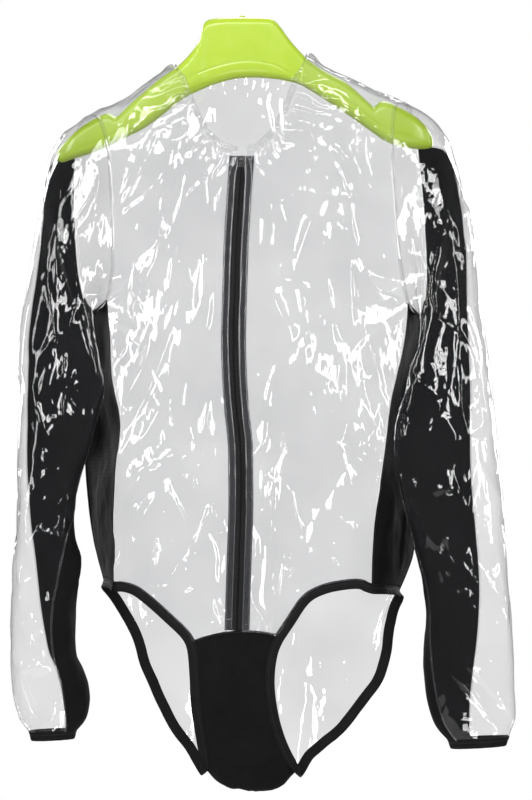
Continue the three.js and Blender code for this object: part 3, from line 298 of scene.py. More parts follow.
def welded(node):
    bm = bmesh.new()
    bm.from_mesh(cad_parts[node].data)
    bmesh.ops.remove_doubles(bm, verts=bm.verts, dist=WELD)
    bm.normal_update()
    bm.verts.index_update()
    return bm


def groups_of(faces, joins):
    """Connected groups of faces, walking over the edges that join, the largest first."""
    left, groups = set(faces), []
    while left:
        stack, members = [left.pop()], []
        while stack:
            face = stack.pop()
            members.append(face)
            for edge in face.edges:
                if joins(edge):
                    for other in edge.link_faces:
                        if other in left:
                            left.remove(other)
                            stack.append(other)
        groups.append(members)
    return sorted(groups, key=lambda g: -sum(f.calc_area() for f in g))


def two_faces(bm):
    """The two broad faces of a wall, each with half of all vertices."""
    for thick in WALL_THICK:
        broad = [f for f in bm.faces if min(e.calc_length() for e in f.edges) > thick * MM]
        pair = groups_of(broad, lambda edge: True)[:2]
        if all(len({v for f in g for v in f.verts}) * 2 == len(bm.verts) for g in pair):
            return pair
    return pair


def two_bands(bm):
    """The outer and inner side of a folded band, each with a third of all faces."""
    for bend in BAND_BEND:
        pair = groups_of(bm.faces, lambda edge: edge.calc_face_angle() < math.radians(bend))[:2]
        if all(len(g) * 3 == len(bm.faces) for g in pair):
            return pair
    return pair


def faces_away(members, axis):
    total = 0.0
    for f in members:
        out = f.calc_center_median() - axis
        out.z = 0
        total += f.calc_area() * f.normal.dot(out)
    return total


def border_loops(members):
    """Closed chains of the vertices on the border of a group of faces."""
    inside = set(members)
    following = {}
    for face in members:
        for loop in face.loops:
            if not any(f in inside and f is not face for f in loop.edge.link_faces):
                following[loop.vert] = loop.link_loop_next.vert
    chains = []
    while following:
        start = next(iter(following))
        chain, at = [], start
        while at in following:
            chain.append(at)
            at = following.pop(at)
        chains.append(chain)
    return chains


def turning(chain, k):
    before = chain[k].co - chain[k - 1].co
    after = chain[(k + 1) % len(chain)].co - chain[k].co
    return before.angle(after, 0.0)


def grid_of(members):
    """The vertices of a face that is a grid, as an array [row][column] of places, rows along its longer way."""
    joined = {}
    for face in members:
        for edge in face.edges:
            v, w = edge.verts
            joined.setdefault(v, set()).add(w)
            joined.setdefault(w, set()).add(v)
    chain = border_loops(members)[0]
    half = (len(chain) + 4) / 2
    few = round((half - math.sqrt(half * half - 4 * len(joined))) / 2)
    many = round(half) - few
    bends = [turning(chain, k) for k in range(len(chain))]
    best = (-1.0, 0, 0)
    for start in range(len(chain)):
        for wide in (few, many):
            high = few + many - wide
            spots = (0, wide - 1, wide + high - 2, 2 * wide + high - 3)
            score = sum(bends[(start + k) % len(chain)] for k in spots)
            best = max(best, (score, start, wide))
    _, start, wide = best
    high = few + many - wide
    row = [chain[(start + k) % len(chain)] for k in range(wide)]
    rows, used = [row], set(row)
    for j in range(1, high):
        below = [chain[(start - j) % len(chain)]]
        for k in range(1, wide):
            found = [v for v in joined[below[-1]] & joined[row[k]] if v not in used and v not in below]
            below.append(found[0])
        used.update(below)
        rows.append(below)
        row = below
    place = np.array([[v.co[:] for v in r] for r in rows])
    along = np.linalg.norm(np.diff(place, axis=0), axis=2).sum() / place.shape[1]
    sideways = np.linalg.norm(np.diff(place, axis=1), axis=2).sum() / place.shape[0]
    return place.transpose(1, 0, 2) if sideways > along else place


def from_the_top(place, axis):
    """Puts the top row first and turns the columns so that the normals point away from an axis."""
    if place[0, :, 2].mean() < place[-1, :, 2].mean():
        place = place[::-1]
    away = place - np.array(axis)
    away[..., 2] = 0
    return place if (row_normals(place) * away).sum() > 0 else place[:, ::-1]


def wall_rows(node, axis):
    bm = welded(node)
    place = grid_of(max(two_faces(bm), key=lambda g: faces_away(g, axis)))
    bm.free()
    return from_the_top(place, axis)


def strip_rows(node, axis):
    """The same for a narrow strip: its two rims are read, and the outer border of each."""
    bm = welded(node)
    rims = sorted(groups_of(bm.faces, lambda edge: edge.calc_face_angle() < math.radians(52)), key=len)[-2:]
    rails = []
    for rim in rims:
        grid = grid_of(rim)
        away = np.linalg.norm((grid - np.array(axis))[..., :2], axis=2).mean(axis=0)
        rails.append(grid[:, int(np.argmax(away))])
    bm.free()
    if np.linalg.norm(rails[0][0] - rails[1][0]) > np.linalg.norm(rails[0][0] - rails[1][-1]):
        rails[1] = rails[1][::-1]
    return from_the_top(np.stack(rails, axis=1), axis)


def row_normals(place):
    """Unit normals of a grid of points: across the columns times down the rows."""
    a = np.gradient(place, axis=1)
    d = np.gradient(place, axis=0)
    n = np.cross(a, d)
    return n / np.maximum(np.linalg.norm(n, axis=2, keepdims=True), 1e-12)


def band_edges(node, axis, centre):
    """The two borders of a closed band's outer face, matched point by point: the far one, the near one."""
    bm = welded(node)
    members = max(two_bands(bm), key=lambda g: faces_away(g, axis))
    loops = [np.array([v.co[:] for v in chain]) for chain in border_loops(members)]
    loops.sort(key=len, reverse=True)
    one, two = loops[0], loops[1][::-1]
    shifts = [np.linalg.norm(one - np.roll(two, k, axis=0), axis=1).sum() for k in range(len(two))]
    two = np.roll(two, int(np.argmin(shifts)), axis=0)
    bm.free()
    centre = np.array(centre)
    if np.linalg.norm(one - centre, axis=1).mean() < np.linalg.norm(two - centre, axis=1).mean():
        one, two = two, one
    return one, two


# %% [markdown]
# ### Finer rows
# A smooth cubic through the coarse rows gives a fine, even grid. Its knots are the real distances, so
# rows that lie close together cause no bulge.


# %% Resampling
def cubic(values, knots, wanted, closed=False):
    """Smooth curve through values (first axis) at knots, read at wanted."""
    if closed:
        turn = knots[-1]
        values = np.concatenate([values[-4:-1], values, values[1:4]])
        knots = np.concatenate([knots[-4:-1] - turn, knots, knots[1:4] + turn])
    step = np.diff(knots)
    slope = np.diff(values, axis=0) / step.reshape(-1, *[1] * (values.ndim - 1))
    tangent = np.empty_like(values)
    tangent[0], tangent[-1] = slope[0], slope[-1]
    w = step.reshape(-1, *[1] * (values.ndim - 1))
    tangent[1:-1] = (slope[:-1] * w[1:] + slope[1:] * w[:-1]) / (w[1:] + w[:-1])
    k = np.clip(np.searchsorted(knots, wanted, side="right") - 1, 0, len(step) - 1)
    h = w[k]
    t = ((wanted - knots[k]).reshape(-1, *[1] * (values.ndim - 1))) / h
    return (
        values[k] * (2 * t**3 - 3 * t**2 + 1)
        + tangent[k] * h * (t**3 - 2 * t**2 + t)
        + values[k + 1] * (3 * t**2 - 2 * t**3)
        + tangent[k + 1] * h * (t**3 - t**2)
    )


def lengths(place):
    """Mean running length along the first axis."""
    gaps = np.linalg.norm(np.diff(place, axis=0), axis=-1)
    if gaps.ndim > 1:
        gaps = gaps.mean(axis=1)
    return np.concatenate([[0], np.cumsum(gaps)])


def fine_rows(place, step):
    """A fine grid through a coarse one, with its sideways and downward lengths."""
    down_knots = lengths(place)
    down_at = np.linspace(0, down_knots[-1], max(2, round(down_knots[-1] / step) + 1))
    tall = cubic(place, down_knots, down_at)
    side_knots = lengths(tall.transpose(1, 0, 2))
    side_at = np.linspace(0, side_knots[-1], max(2, round(side_knots[-1] / step) + 1))
    wide = cubic(tall.transpose(1, 0, 2), side_knots, side_at)
    return wide.transpose(1, 0, 2), side_at, down_at


def fine_line(line, step, closed=False):
    if closed:
        line = np.concatenate([line, line[:1]])
    knots = lengths(line)
    count = max(3, round(knots[-1] / step) + 1)
    return cubic(line, knots, np.linspace(0, knots[-1], count), closed)


# %% [markdown]
# ### From rows to a thin shell
# The fine grid and a copy of it, pushed in by the cloth's thickness, are joined along the border. That
# makes a closed shell. The UV map holds metres along the cloth, so a weave keeps its size and follows
# the cut.


# %% Making meshes
def new_piece(name, verts, faces, uv=None):
    data = bpy.data.meshes.new(name)
    data.from_pydata([tuple(v) for v in verts], [], faces)
    if uv is not None:
        layer = data.uv_layers.new(name="cloth")
        corner = np.empty(len(data.loops), np.int32)
        data.loops.foreach_get("vertex_index", corner)
        layer.data.foreach_set("uv", np.asarray(uv, float)[corner].ravel())
    data.shade_smooth()
    obj = bpy.data.objects.new(name, data)
    bpy.context.scene.collection.objects.link(obj)
    return obj


def shell(name, place, thick, side_at, down_at, closed=False):
    """A closed thin shell on a grid of points; closed joins the last row to the first."""
    rows, columns = place.shape[:2]
    out = row_normals(place)
    if closed:
        wrapped = np.concatenate([place[-2:], place, place[:2]])
        out = row_normals(wrapped)[2:-2]
    inner = place - out * thick
    verts = np.concatenate([place.reshape(-1, 3), inner.reshape(-1, 3)])
    uv = np.stack(np.meshgrid(side_at, down_at), axis=-1).reshape(-1, 2)
    n = rows * columns
    last = rows if closed else rows - 1
    j, i = np.meshgrid(np.arange(last), np.arange(columns - 1), indexing="ij")
    below = (j + 1) % rows
    a, b = j * columns + i, j * columns + i + 1
    c, d = below * columns + i + 1, below * columns + i
    front = np.stack([a, b, c, d], axis=-1).reshape(-1, 4)
    faces = [front, (front + n)[:, ::-1]]
    for column, flip in ((0, True), (columns - 1, False)):
        up = np.arange(last) * columns + column
        lo = (np.arange(last) + 1) % rows * columns + column
        rim = np.stack([up, up + n, lo + n, lo], axis=-1)
        faces.append(rim[:, ::-1] if flip else rim)
    if not closed:
        for row, flip in ((0, False), (rows - 1, True)):
            left = row * columns + np.arange(columns - 1)
            rim = np.stack([left, left + n, left + 1 + n, left + 1], axis=-1)
            faces.append(rim[:, ::-1] if flip else rim)
    return new_piece(name, verts, np.concatenate(faces).tolist(), np.concatenate([uv, uv]))


def area_of_rows(place):
    a = np.diff(place, axis=1)[:-1]
    d = np.diff(place, axis=0)[:, :-1]
    return float(np.linalg.norm(np.cross(a, d), axis=2).sum())


# %% [markdown]
# ## Creases
# Creased film is a net of sharp little ridges with calm cells between them, each cell tilted its own way.
# The borders between scattered seed points make such a net. Three sizes of net are laid over each
# other, and slow noise lets them fade in and out. The field depends on the place only, so pieces that
# meet crease together.


# %% Noise and crease nets
def scatter(cell, seed):
    """A repeatable number from 0 to 1 for each whole-numbered cell."""
    h = (cell[:, 0] * 73856093) ^ (cell[:, 1] * 19349663) ^ (cell[:, 2] * 83492791) ^ (seed * 40503 + 977)
    h = (h ^ (h >> 13)) * 1274126177 & 0x7FFFFFFF
    h = h ^ (h >> 15)
    return (h * 48271 % 65521) / 65521


def slow(place, size, seed):
    """Smooth noise from -1 to 1 with lumps of a given size."""
    p = place / size
    base = np.floor(p).astype(np.int64)
    f = p - base
    f = f * f * (3 - 2 * f)
    total = np.zeros(len(p))
    for corner in np.ndindex(2, 2, 2):
        c = np.array(corner)
        weight = np.prod(np.where(c == 1, f, 1 - f), axis=1)
        total += weight * scatter(base + c, seed)
    return total * 2 - 1


def smoothstep(x):
    x = np.clip(x, 0, 1)
    return x * x * (3 - 2 * x)


def net(place, size, seed):
    """Distance to the border between scattered cells, and the height of each cell's own tilt, in cells."""
    p = place / size
    base = np.floor(p).astype(np.int64)
    first = np.full(len(p), 9.0)
    second = np.full(len(p), 9.0)
    tilt = np.zeros(len(p))
    for step in np.ndindex(3, 3, 3):
        cell = base + np.array(step) - 1
        spot = cell + np.stack([scatter(cell, seed + k) for k in (11, 23, 37)], axis=1)
        away = p - spot
        d = np.linalg.norm(away, axis=1)
        lean = np.stack([scatter(cell, seed + k) - 0.5 for k in (41, 53, 67)], axis=1)
        nearer = d < first
        tilt = np.where(nearer, (away * lean).sum(axis=1), tilt)
        second = np.minimum(second, np.maximum(first, d))
        first = np.minimum(first, d)
    edge = second - first
    return edge, tilt * smoothstep(edge / 0.3)


LEAN = 0.42                     # the creases fan out from the zip, downwards and outwards


def along_fall(place):
    """Turns the place so that the nets stretch along the way the cloth hangs."""
    a = LEAN * np.tanh((place[:, 0] - BODY_AXIS.x) / 0.05)
    x = place[:, 0] * np.cos(a) + place[:, 2] * np.sin(a)
    z = place[:, 2] * np.cos(a) - place[:, 0] * np.sin(a)
    return np.stack([x, place[:, 1], z], axis=1)


# columns: cell across mm, cell along mm, ridge width in cells, ridge height mm, tilt height mm
NETS = [
    (56, 175, 0.11, 1.2, 16),
    (27, 92, 0.13, 0.8, 6.5),
    (11, 46, 0.18, 0.34, 1.4),
]


def creases(place):
    """Height in metres of the crease field at each place."""
    warp = np.stack([slow(place, 0.05, 60 + k) for k in range(3)], axis=1) * 0.014
    turned = along_fall(place + warp)
    total = np.zeros(len(place))
    for k, (wide, long, width, ridge_high, tilt_high) in enumerate(NETS):
        size = np.array([wide, wide, long]) * MM
        edge, tilt = net(turned, size, 100 + 50 * k)
        ridge = np.exp(-((edge / width) ** 1.3))
        presence = np.clip(slow(place, 2.4 * wide * MM, 300 + k) * 2.4 + 0.25, 0, 1)
        sign = np.clip(slow(place, 1.7 * wide * MM, 400 + k) * 3, -1, 1)
        total += MM * presence * (ridge_high * ridge * sign + tilt_high * tilt)
    return total + 0.5 * MM * slow(turned, 0.03, 500) + 1.4 * MM * slow(place, 0.09, 501)


# %% [markdown]
# ## Fold tables
# The nets make small creases everywhere. The folds that one would remember from the photo are listed one
# by one: each row is a line on the drawing grid from one end to the other, with a bend, a half width and a
# height.

# %% Listed folds
# columns: from across, from down, to across, to down, bend (grid units), half width mm, height mm
FRONT_FOLDS = [
    (102, 146, 111, 178, 1, 3, 1.5),
    (111, 178, 113, 214, 1, 3, 1.3),
    (144, 134, 119, 200, 3, 9, 2.6),
    (157, 136, 117, 212, 3, 3, 1.6),
    (171, 156, 118, 217, 9, 4, 1.8),
    (188, 163, 170, 235, 3, 3, 1.5),
    (163, 192, 157, 258, 1, 2.6, 1.2),
    (157, 258, 143, 283, 1, 2.6, 1.2),
    (167, 194, 170, 232, 0, 2.4, 1.0),
    (173, 258, 170, 288, 1, 2.6, 1.1),
    (176, 300, 166, 332, 1, 3, 1.3),
    (128, 277, 144, 313, -1, 3, 1.4),
    (207, 252, 212, 281, 0, 2.4, 1.0),
    (204, 166, 212, 236, -2, 4, -1.4),
    (168, 226, 130, 262, 4, 5, -1.8),
    (212, 290, 182, 372, 7, 4, 1.8),
    (172, 330, 126, 433, 3, 3, -1.6),
    (126, 433, 105, 481, 1, 3, -1.5),
    (152, 344, 122, 402, 3, 8, 2.8),
    (164, 396, 136, 446, 4, 9, 3.0),
    (170, 371, 165, 396, 0, 2.4, 1.2),
    (170, 371, 174, 428, 0, 2.4, 1.2),
    (193, 368, 187, 416, -3, 2.6, 1.3),
    (209, 392, 202, 434, 2, 3, 1.5),
    (183, 440, 143, 469, 3, 3, 1.6),
    (143, 469, 128, 486, 1, 4, 1.6),
    (171, 474, 161, 577, 1, 3, 1.5),
    (176, 470, 180, 558, 1, 2.4, 1.2),
    (215, 440, 215, 494, -2, 3, 1.5),
    (215, 494, 169, 594, 3, 3, 1.8),
    (212, 509, 205, 570, 2, 4, 1.6),
    (136, 577, 181, 562, -14, 3, 1.4),
    (191, 464, 193, 496, 2, 2.4, 1.1),
    (206, 560, 184, 590, 3, 5, 1.6),
    (120, 500, 134, 566, -2, 4, 1.3),
    (358, 112, 351, 148, 5, 2.6, 1.4),
    (351, 148, 377, 201, -1, 2.6, 1.5),
    (366, 126, 378, 190, -3, 2.4, 1.3),
    (318, 141, 351, 194, -2, 3, 1.6),
    (351, 194, 358, 252, -3, 2.6, 1.4),
    (336, 190, 322, 266, 5, 11, 3.2),
    (358, 252, 384, 300, -2, 5, -1.6),
    (277, 198, 286, 228, 0, 2.4, 1.1),
    (270, 276, 309, 288, 4, 6, 2.2),
    (272, 292, 292, 334, -2, 8, 2.4),
    (350, 262, 352, 334, 0, 5, 2.0),
    (268, 240, 300, 272, -4, 4, 1.6),
    (300, 284, 312, 346, -2, 4, 1.6),
    (326, 280, 334, 344, 1, 3, 1.3),
    (364, 326, 384, 388, -2, 3, 1.6),
    (353, 326, 364, 402, -1, 3, 1.4),
    (345, 364, 348, 404, 0, 2.4, 1.1),
    (304, 344, 318, 430, -4, 9, 2.8),
    (326, 380, 338, 440, -2, 7, 2.4),
    (338, 440, 362, 507, -3, 4, 1.8),
    (279, 424, 288, 478, 1, 3, 1.5),
    (288, 478, 309, 550, -2, 2.6, 1.5),
    (309, 550, 303, 572, -2, 2.6, 1.3),
    (303, 572, 311, 590, 1, 3, 1.3),
    (266, 462, 271, 512, -1, 3, 1.4),
    (271, 512, 269, 602, 1, 2.6, 1.4),
    (360, 424, 362, 488, 1, 2.4, 1.2),
    (333, 543, 347, 577, -2, 4, 1.7),
    (352, 524, 358, 551, 0, 4, 1.6),
    (260, 340, 262, 420, -1, 3, 1.2),
    (376, 400, 366, 452, 3, 4, 1.6),
]
BACK_FOLDS = [
    (206, 98, 176, 172, 5, 7, -2.2),
    (262, 92, 292, 166, -5, 7, -2.2),
    (150, 200, 190, 282, 6, 6, 2.2),
    (330, 190, 296, 276, -6, 6, 2.4),
    (240, 230, 232, 330, 3, 7, -2.2),
    (120, 330, 168, 402, 6, 6, 2.2),
    (370, 330, 322, 410, -6, 6, 2.2),
    (212, 380, 254, 460, 5, 6, 2.2),
    (300, 330, 262, 420, -5, 6, 2.0),
    (150, 470, 190, 548, 5, 6, -2.0),
    (352, 462, 312, 540, -5, 6, 2.2),
    (236, 520, 246, 610, 3, 6, 2.0),
]
SLEEVE_FOLDS = {
    "right": [
        (62, 176, 50, 250, 3, 5, 1.8),
        (59, 218, 57, 296, 1, 3, 1.4),
        (49, 262, 59, 352, -1, 3, 1.4),
        (80, 291, 67, 341, 1, 3, 1.6),
        (67, 341, 66, 442, -2, 3, 1.6),
        (84, 300, 44, 352, 5, 5, 1.8),
        (96, 404, 72, 480, 4, 7, 2.6),
        (34, 380, 60, 450, -5, 5, 1.8),
        (57, 459, 59, 514, 2, 4, 1.8),
        (62, 514, 46, 532, 4, 4, 1.8),
        (48, 548, 53, 606, -2, 4, 1.8),
        (69, 485, 51, 614, 3, 3, 1.7),
        (43, 622, 41, 658, 0, 4, 1.6),
        (47, 650, 59, 728, 3, 3, 1.6),
        (22, 560, 30, 650, -3, 6, 1.8),
        (26, 470, 34, 560, -4, 6, 1.8),
        (20, 670, 34, 724, -3, 5, 1.6),
    ],
    "left": [
        (436, 150, 452, 236, -3, 5, 1.8),
        (453, 260, 456, 362, 1, 4, 1.8),
        (456, 362, 466, 442, -1, 5, 2.2),
        (439, 402, 427, 430, 1, 4, 1.8),
        (420, 250, 450, 300, -5, 5, 1.6),
        (408, 360, 440, 398, -5, 5, 1.8),
        (432, 490, 471, 488, 2, 5, 2.0),
        (457, 506, 439, 545, 1, 4, 1.8),
        (445, 570, 450, 600, 0, 4, 1.6),
        (474, 460, 462, 560, -3, 7, 2.6),
        (470, 552, 486, 640, -4, 10, 3.2),
        (457, 655, 512, 716, 3, 4, 2.0),
        (448, 668, 500, 736, 4, 4, 1.8),
        (498, 560, 506, 650, 2, 5, 1.8),
        (416, 470, 428, 540, -3, 4, 1.6),
        (424, 560, 440, 650, -3, 4, 1.8),
        (476, 330, 480, 430, 2, 6, 1.8),
    ],
}


def fold_height(place, table):
    """Height in metres of a table's folds at each place, read on the drawing grid."""
    a, d = across(place[:, 0]), down(place[:, 2])
    total = np.zeros(len(place))
    for a0, d0, a1, d1, bend, half, height in table:
        along = np.array([a1 - a0, d1 - d0], float)
        length = np.hypot(*along)
        t = ((a - a0) * along[0] + (d - d0) * along[1]) / length**2
        off = ((a - a0) * along[1] - (d - d0) * along[0]) / length - bend * 4 * t * (1 - t)
        ends = smoothstep((t + 0.15) / 0.4) * smoothstep((1.15 - t) / 0.4)
        q = np.abs(off) * GRID / (half * MM)
        total += height * MM * np.exp(-(q**1.4)) * ends
    return total


# %% [markdown]
# ## Where the cloth is held
# The coarse rows of every wall give the seam lines. Near a seam all pieces follow the same gentle part of
# the crease field, so their edges stay together. At the neck the cloth is drawn up on elastic: short
# gathers start at the neck strip and run out into the panels.

# %% Rows of every wall, and the lines between them
WALLS = {"back": BODY_AXIS, "front_right": BODY_AXIS, "front_left": BODY_AXIS}
for side in SIDES:
    WALLS[f"side_{side}"] = BODY_AXIS
    WALLS[f"sleeve_{side}_clear"] = SLEEVE_AXIS[side]
    WALLS[f"sleeve_{side}_black"] = SLEEVE_AXIS[side]
    WALLS[f"zip_tape_{side}"] = BODY_AXIS
WALLS["gusset"] = middle("gusset") + Vector((0, 0.012, 0))
ROWS = {node: wall_rows(node, axis) for node, axis in WALLS.items()}
ROWS["neckband"] = strip_rows("neckband", BODY_AXIS)
for node, rows in ROWS.items():
    print(node, "rows", rows.shape[:2])


def sides_of(node):
    return ROWS[node][:, 0], ROWS[node][:, -1]


def closer(lines, spot):
    """The one of some lines that lies nearer to a spot."""
    return min(lines, key=lambda line: np.linalg.norm(line - np.array(spot), axis=1).mean())


def farther(lines, spot):
    return max(lines, key=lambda line: np.linalg.norm(line - np.array(spot), axis=1).mean())


def loop_of(one, two):
    """Two lines that meet at both ends as one closed line."""
    if np.linalg.norm(one[-1] - two[0]) > np.linalg.norm(one[-1] - two[-1]):
        two = two[::-1]
    return np.concatenate([one, two])


class Spots:
    """Looks up the nearest of some points."""

    def __init__(self, spots):
        self.tree = KDTree(len(spots))
        for k, co in enumerate(spots):
            self.tree.insert(Vector(co), k)
        self.tree.balance()

    def nearest(self, place):
        found = [self.tree.find(Vector(p)) for p in place]
        return np.array([f[1] for f in found]), np.array([f[2] for f in found])

    def fade(self, place, reach):
        """0 at the points, rising to 1 at reach away from them."""
        return smoothstep(self.nearest(place)[1] / reach)


def node_points(*nodes):
    return [v.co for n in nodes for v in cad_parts[n].data.vertices]


armholes = {s: loop_of(ROWS[f"sleeve_{s}_clear"][0], ROWS[f"sleeve_{s}_black"][0]) for s in SIDES}
seam_lines = [line for node in WALLS for line in sides_of(node) if not node.startswith("zip")]
seam_lines += list(armholes.values()) + [ROWS["back"][0], ROWS["gusset"][0], ROWS["gusset"][-1]]
seams = Spots(np.concatenate([fine_line(line, 4 * MM) for line in seam_lines]))
zip_spots = Spots(node_points("zip_tape_right", "zip_tape_left"))
leg_spots = Spots(node_points("leg_binding_right", "leg_binding_left"))
cuff_spots = Spots(node_points("cuff_right", "cuff_left"))
neck_line = fine_line(ROWS["neckband"].mean(axis=1), 1 * MM)
neck_spots = Spots(neck_line)
hanger_tree = BVHTree.FromBMesh(welded("hanger"))
HANGER_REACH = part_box("hanger")[0].z - 0.03


def clear_of_hanger(place, height, spare=1.2 * MM):
    """Keeps inward creases from touching the hanger."""
    held = height.copy()
    for k in np.nonzero((place[:, 2] > HANGER_REACH) & (height < 0))[0]:
        hit = hanger_tree.find_nearest(Vector(place[k]), 0.02)
        if hit[0] is not None:
            held[k] = max(height[k], -max(hit[3] - spare, 0))
    return held


GATHER_PITCH = 7.5 * MM
GATHER_TOP = -0.058             # the shoulder seams above this height are not gathered


def neck_gathers(place):
    """Gathers that start at the neck strip and die out in the panels."""
    total = np.zeros(len(place))
    close = np.nonzero(place[:, 2] > neck_line[:, 2].min() - 0.06)[0]
    index, away = neck_spots.nearest(place[close])
    run = index * MM
    wander = 0.9 * slow(place[close], 0.025, 620)
    short = np.sin(2 * math.pi * run / GATHER_PITCH + 3 * wander) * np.exp(-away / 0.014)
    long = np.sin(2 * math.pi * run / (2.3 * GATHER_PITCH) + 5 * wander) * np.exp(-away / 0.034)
    below_shoulder = smoothstep((GATHER_TOP - place[close][:, 2]) / 0.025)
    total[close] = (1.1 * MM * short + 1.7 * MM * long) * below_shoulder
    return total


AT_SEAM = 0.4                   # share of the crease field that every piece follows at a seam


def cloth_height(place, amount, folds=(), own=0.0):
    """Creases, folds and gathers together; own adds the fine lumps of knit."""
    loose = seams.fade(place, 0.024)
    held = leg_spots.fade(place, 0.026) * cuff_spots.fade(place, 0.016) * smoothstep(
        zip_spots.nearest(place)[1] / 0.022 - 0.12)
    height = creases(place) * (AT_SEAM + (amount - AT_SEAM) * loose)
    if folds:
        height += fold_height(place, folds) * loose
    if own:
        height += own * MM * loose * (slow(place, 0.03, 700) + 0.5 * slow(place, 0.012, 701))
    return height * held + neck_gathers(place)


# %% [markdown]
# ## Panels
# One function does the whole journey for a panel: rows, fine grid, creases, thin shell and finish. The
# cut size is what the flat piece measured before it was hung: its widest row, its longest column and its
# area, all taken before the creases go in.

# %% The panels
STEP = 2.0 * MM
FILM_THICK = 0.3 * MM
KNIT_THICK = 0.6 * MM
FINE = {}                       # the finished outer surface of each panel, for what lies on it
NARROWEST = 10.1 * MM           # a strip is cut at least this wide


def dress(obj, nodes, material, slot):
    obj.data.materials.append(material)
    obj.visible_shadow = slot != "clear_film"   # clear film lets the light through to what it covers
    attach(obj, "root")
    if nodes:
        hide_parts(*nodes)
    return obj


def note_cut(obj, place):
    width = np.linalg.norm(np.diff(place, axis=1), axis=2).sum(axis=1).max()
    length = np.linalg.norm(np.diff(place, axis=0), axis=2).sum(axis=0).max()
    width = max(float(width), NARROWEST)
    min(area_of_rows(place), width * length)
    print(obj.name, "cut mm", round(width * 1000), "x", round(length * 1000), "faces", len(obj.data.polygons))


def panel(node, name, thick, material, slot, amount, folds=(), own=0.0, step=STEP):
    place, side_at, down_at = fine_rows(ROWS[node], step)
    flat = place.reshape(-1, 3)
    height = clear_of_hanger(flat, cloth_height(flat, amount, folds, own))
    shaped = place + row_normals(place) * height.reshape(place.shape[:2])[..., None]
    obj = shell(name, shaped, thick, side_at, down_at)
    note_cut(obj, place)
    FINE[node] = shaped
    return dress(obj, [node], material, slot)


for side in SIDES:
    panel(f"front_{side}", f"front_{side}_film", FILM_THICK, FILM_FRONT, "clear_film", 1.0, FRONT_FOLDS)
    panel(
        f"sleeve_{side}_clear", f"sleeve_{side}_film", FILM_THICK, FILM_SLEEVE, "clear_film", 1.0,
        SLEEVE_FOLDS[side],
    )
    for node, own in ((f"side_{side}", 1.0), (f"sleeve_{side}_black", 0.8)):
        piece = node.replace("_black", "") + "_knit"
        panel(node, piece, KNIT_THICK, KNIT, "black_fabric", 0.4, own=own, step=1.6 * STEP)
panel("back", "back_film", FILM_THICK, FILM_BACK, "clear_film", 0.6, BACK_FOLDS, step=1.4 * STEP)
panel("gusset", "gusset_knit", KNIT_THICK, KNIT, "black_fabric", 0.2, own=0.9, step=1.3 * STEP)

# %% [markdown]
# ## Bands
# Cuffs and leg bindings are elastic strips folded over the cloth's edge. Their two borders are matched
# point by point, and a rounded section is swept along them. Elastic that pulls cloth together puckers,
# so short ripples run across the strip and the free edge waves.


# %% Sweeping a section along a band
def tube(name, rings, side_at, down_at):
    """A closed band: rings of points, joined round both ways."""
    rows, columns = rings.shape[:2]
    j, i = np.meshgrid(np.arange(rows), np.arange(columns), indexing="ij")
    a, b = j * columns + i, j * columns + (i + 1) % columns
    c, d = (j + 1) % rows * columns + (i + 1) % columns, (j + 1) % rows * columns + i
    faces = np.stack([a, b, c, d], axis=-1).reshape(-1, 4)
    uv = np.stack(np.meshgrid(side_at, down_at), axis=-1).reshape(-1, 2)
    return new_piece(name, rings.reshape(-1, 3), faces.tolist(), uv)


# columns: place across the band (0 at the cloth, 1 at the free edge), half thickness as a share
BAND_SECTION = [
    (-0.30, 0.35), (-0.24, 0.80), (-0.10, 1.00), (0.10, 0.92), (0.20, 0.66),
    (0.30, 0.92), (0.52, 1.0), (0.78, 1.0), (0.93, 0.85), (1.0, 0.45),
]


def elastic_band(node, name, axis, lies, thick, pitch, depth, wave):
    """Strip round an edge; lies is how far its middle lies under the solid's outer face."""
    one, two = band_edges(node, axis, middle(node))
    pair = np.stack([one, two], axis=1)
    pair = np.concatenate([pair, pair[:1]])
    knots = lengths(pair)
    count = round(knots[-1] / (0.9 * MM))
    run = np.arange(count) / count * knots[-1]
    pair = cubic(pair, knots, run, closed=True)
    ahead = np.roll(pair.mean(axis=1), -1, axis=0) - np.roll(pair.mean(axis=1), 1, axis=0)
    out = np.cross(ahead, pair[:, 1] - pair[:, 0])
    out /= np.linalg.norm(out, axis=1, keepdims=True)
    centre = np.array(axis)
    away = pair.mean(axis=1) - centre
    away[:, 2] = 0
    if (out * away).sum() < 0:
        out = -out
    ripple = depth * np.sin(2 * math.pi * run / pitch + 1.5 * slow(pair[:, 0], 0.02, 640))
    swing = wave * slow(pair[:, 1], 0.011, 641)
    section = BAND_SECTION + [(t, -h) for t, h in reversed(BAND_SECTION)]
    rings = []
    for t, h in section:
        spot = pair[:, 0] * (1 - t) + pair[:, 1] * t
        rise = np.sign(h) * (abs(h) * thick / 2 + ripple * min(1, abs(h))) - lies + swing * max(t, 0)
        rings.append(spot + out * rise[:, None])
    rings = np.stack(rings, axis=1)
    reach = float(np.linalg.norm(pair[:, 1] - pair[:, 0], axis=1).mean())
    obj = tube(name, rings, [t * reach for t, h in section], run)
    groove = pair[:, 0] * 0.8 + pair[:, 1] * 0.2 + out * (0.33 * thick - lies + 0.12 * MM)
    dress(obj, [node], ELASTIC, "black_elastic")
    print(name, "length mm", round(knots[-1] * 1000), "width mm", round(reach * 1100, 1))
    return obj, groove + out * (0.25 * swing)[:, None]


stitch_lines = {}
for side in SIDES:
    _, stitch_lines[f"leg_{side}"] = elastic_band(
        f"leg_binding_{side}", f"leg_{side}_elastic", BODY_AXIS, 1.0 * MM, 2.2 * MM, 3.1 * MM, 0.16 * MM, 0.9 * MM)
    _, stitch_lines[f"cuff_{side}"] = elastic_band(
        f"cuff_{side}", f"cuff_{side}_elastic", SLEEVE_AXIS[side], 0.9 * MM, 2.0 * MM, 3.4 * MM, 0.30 * MM, 0.2 * MM)

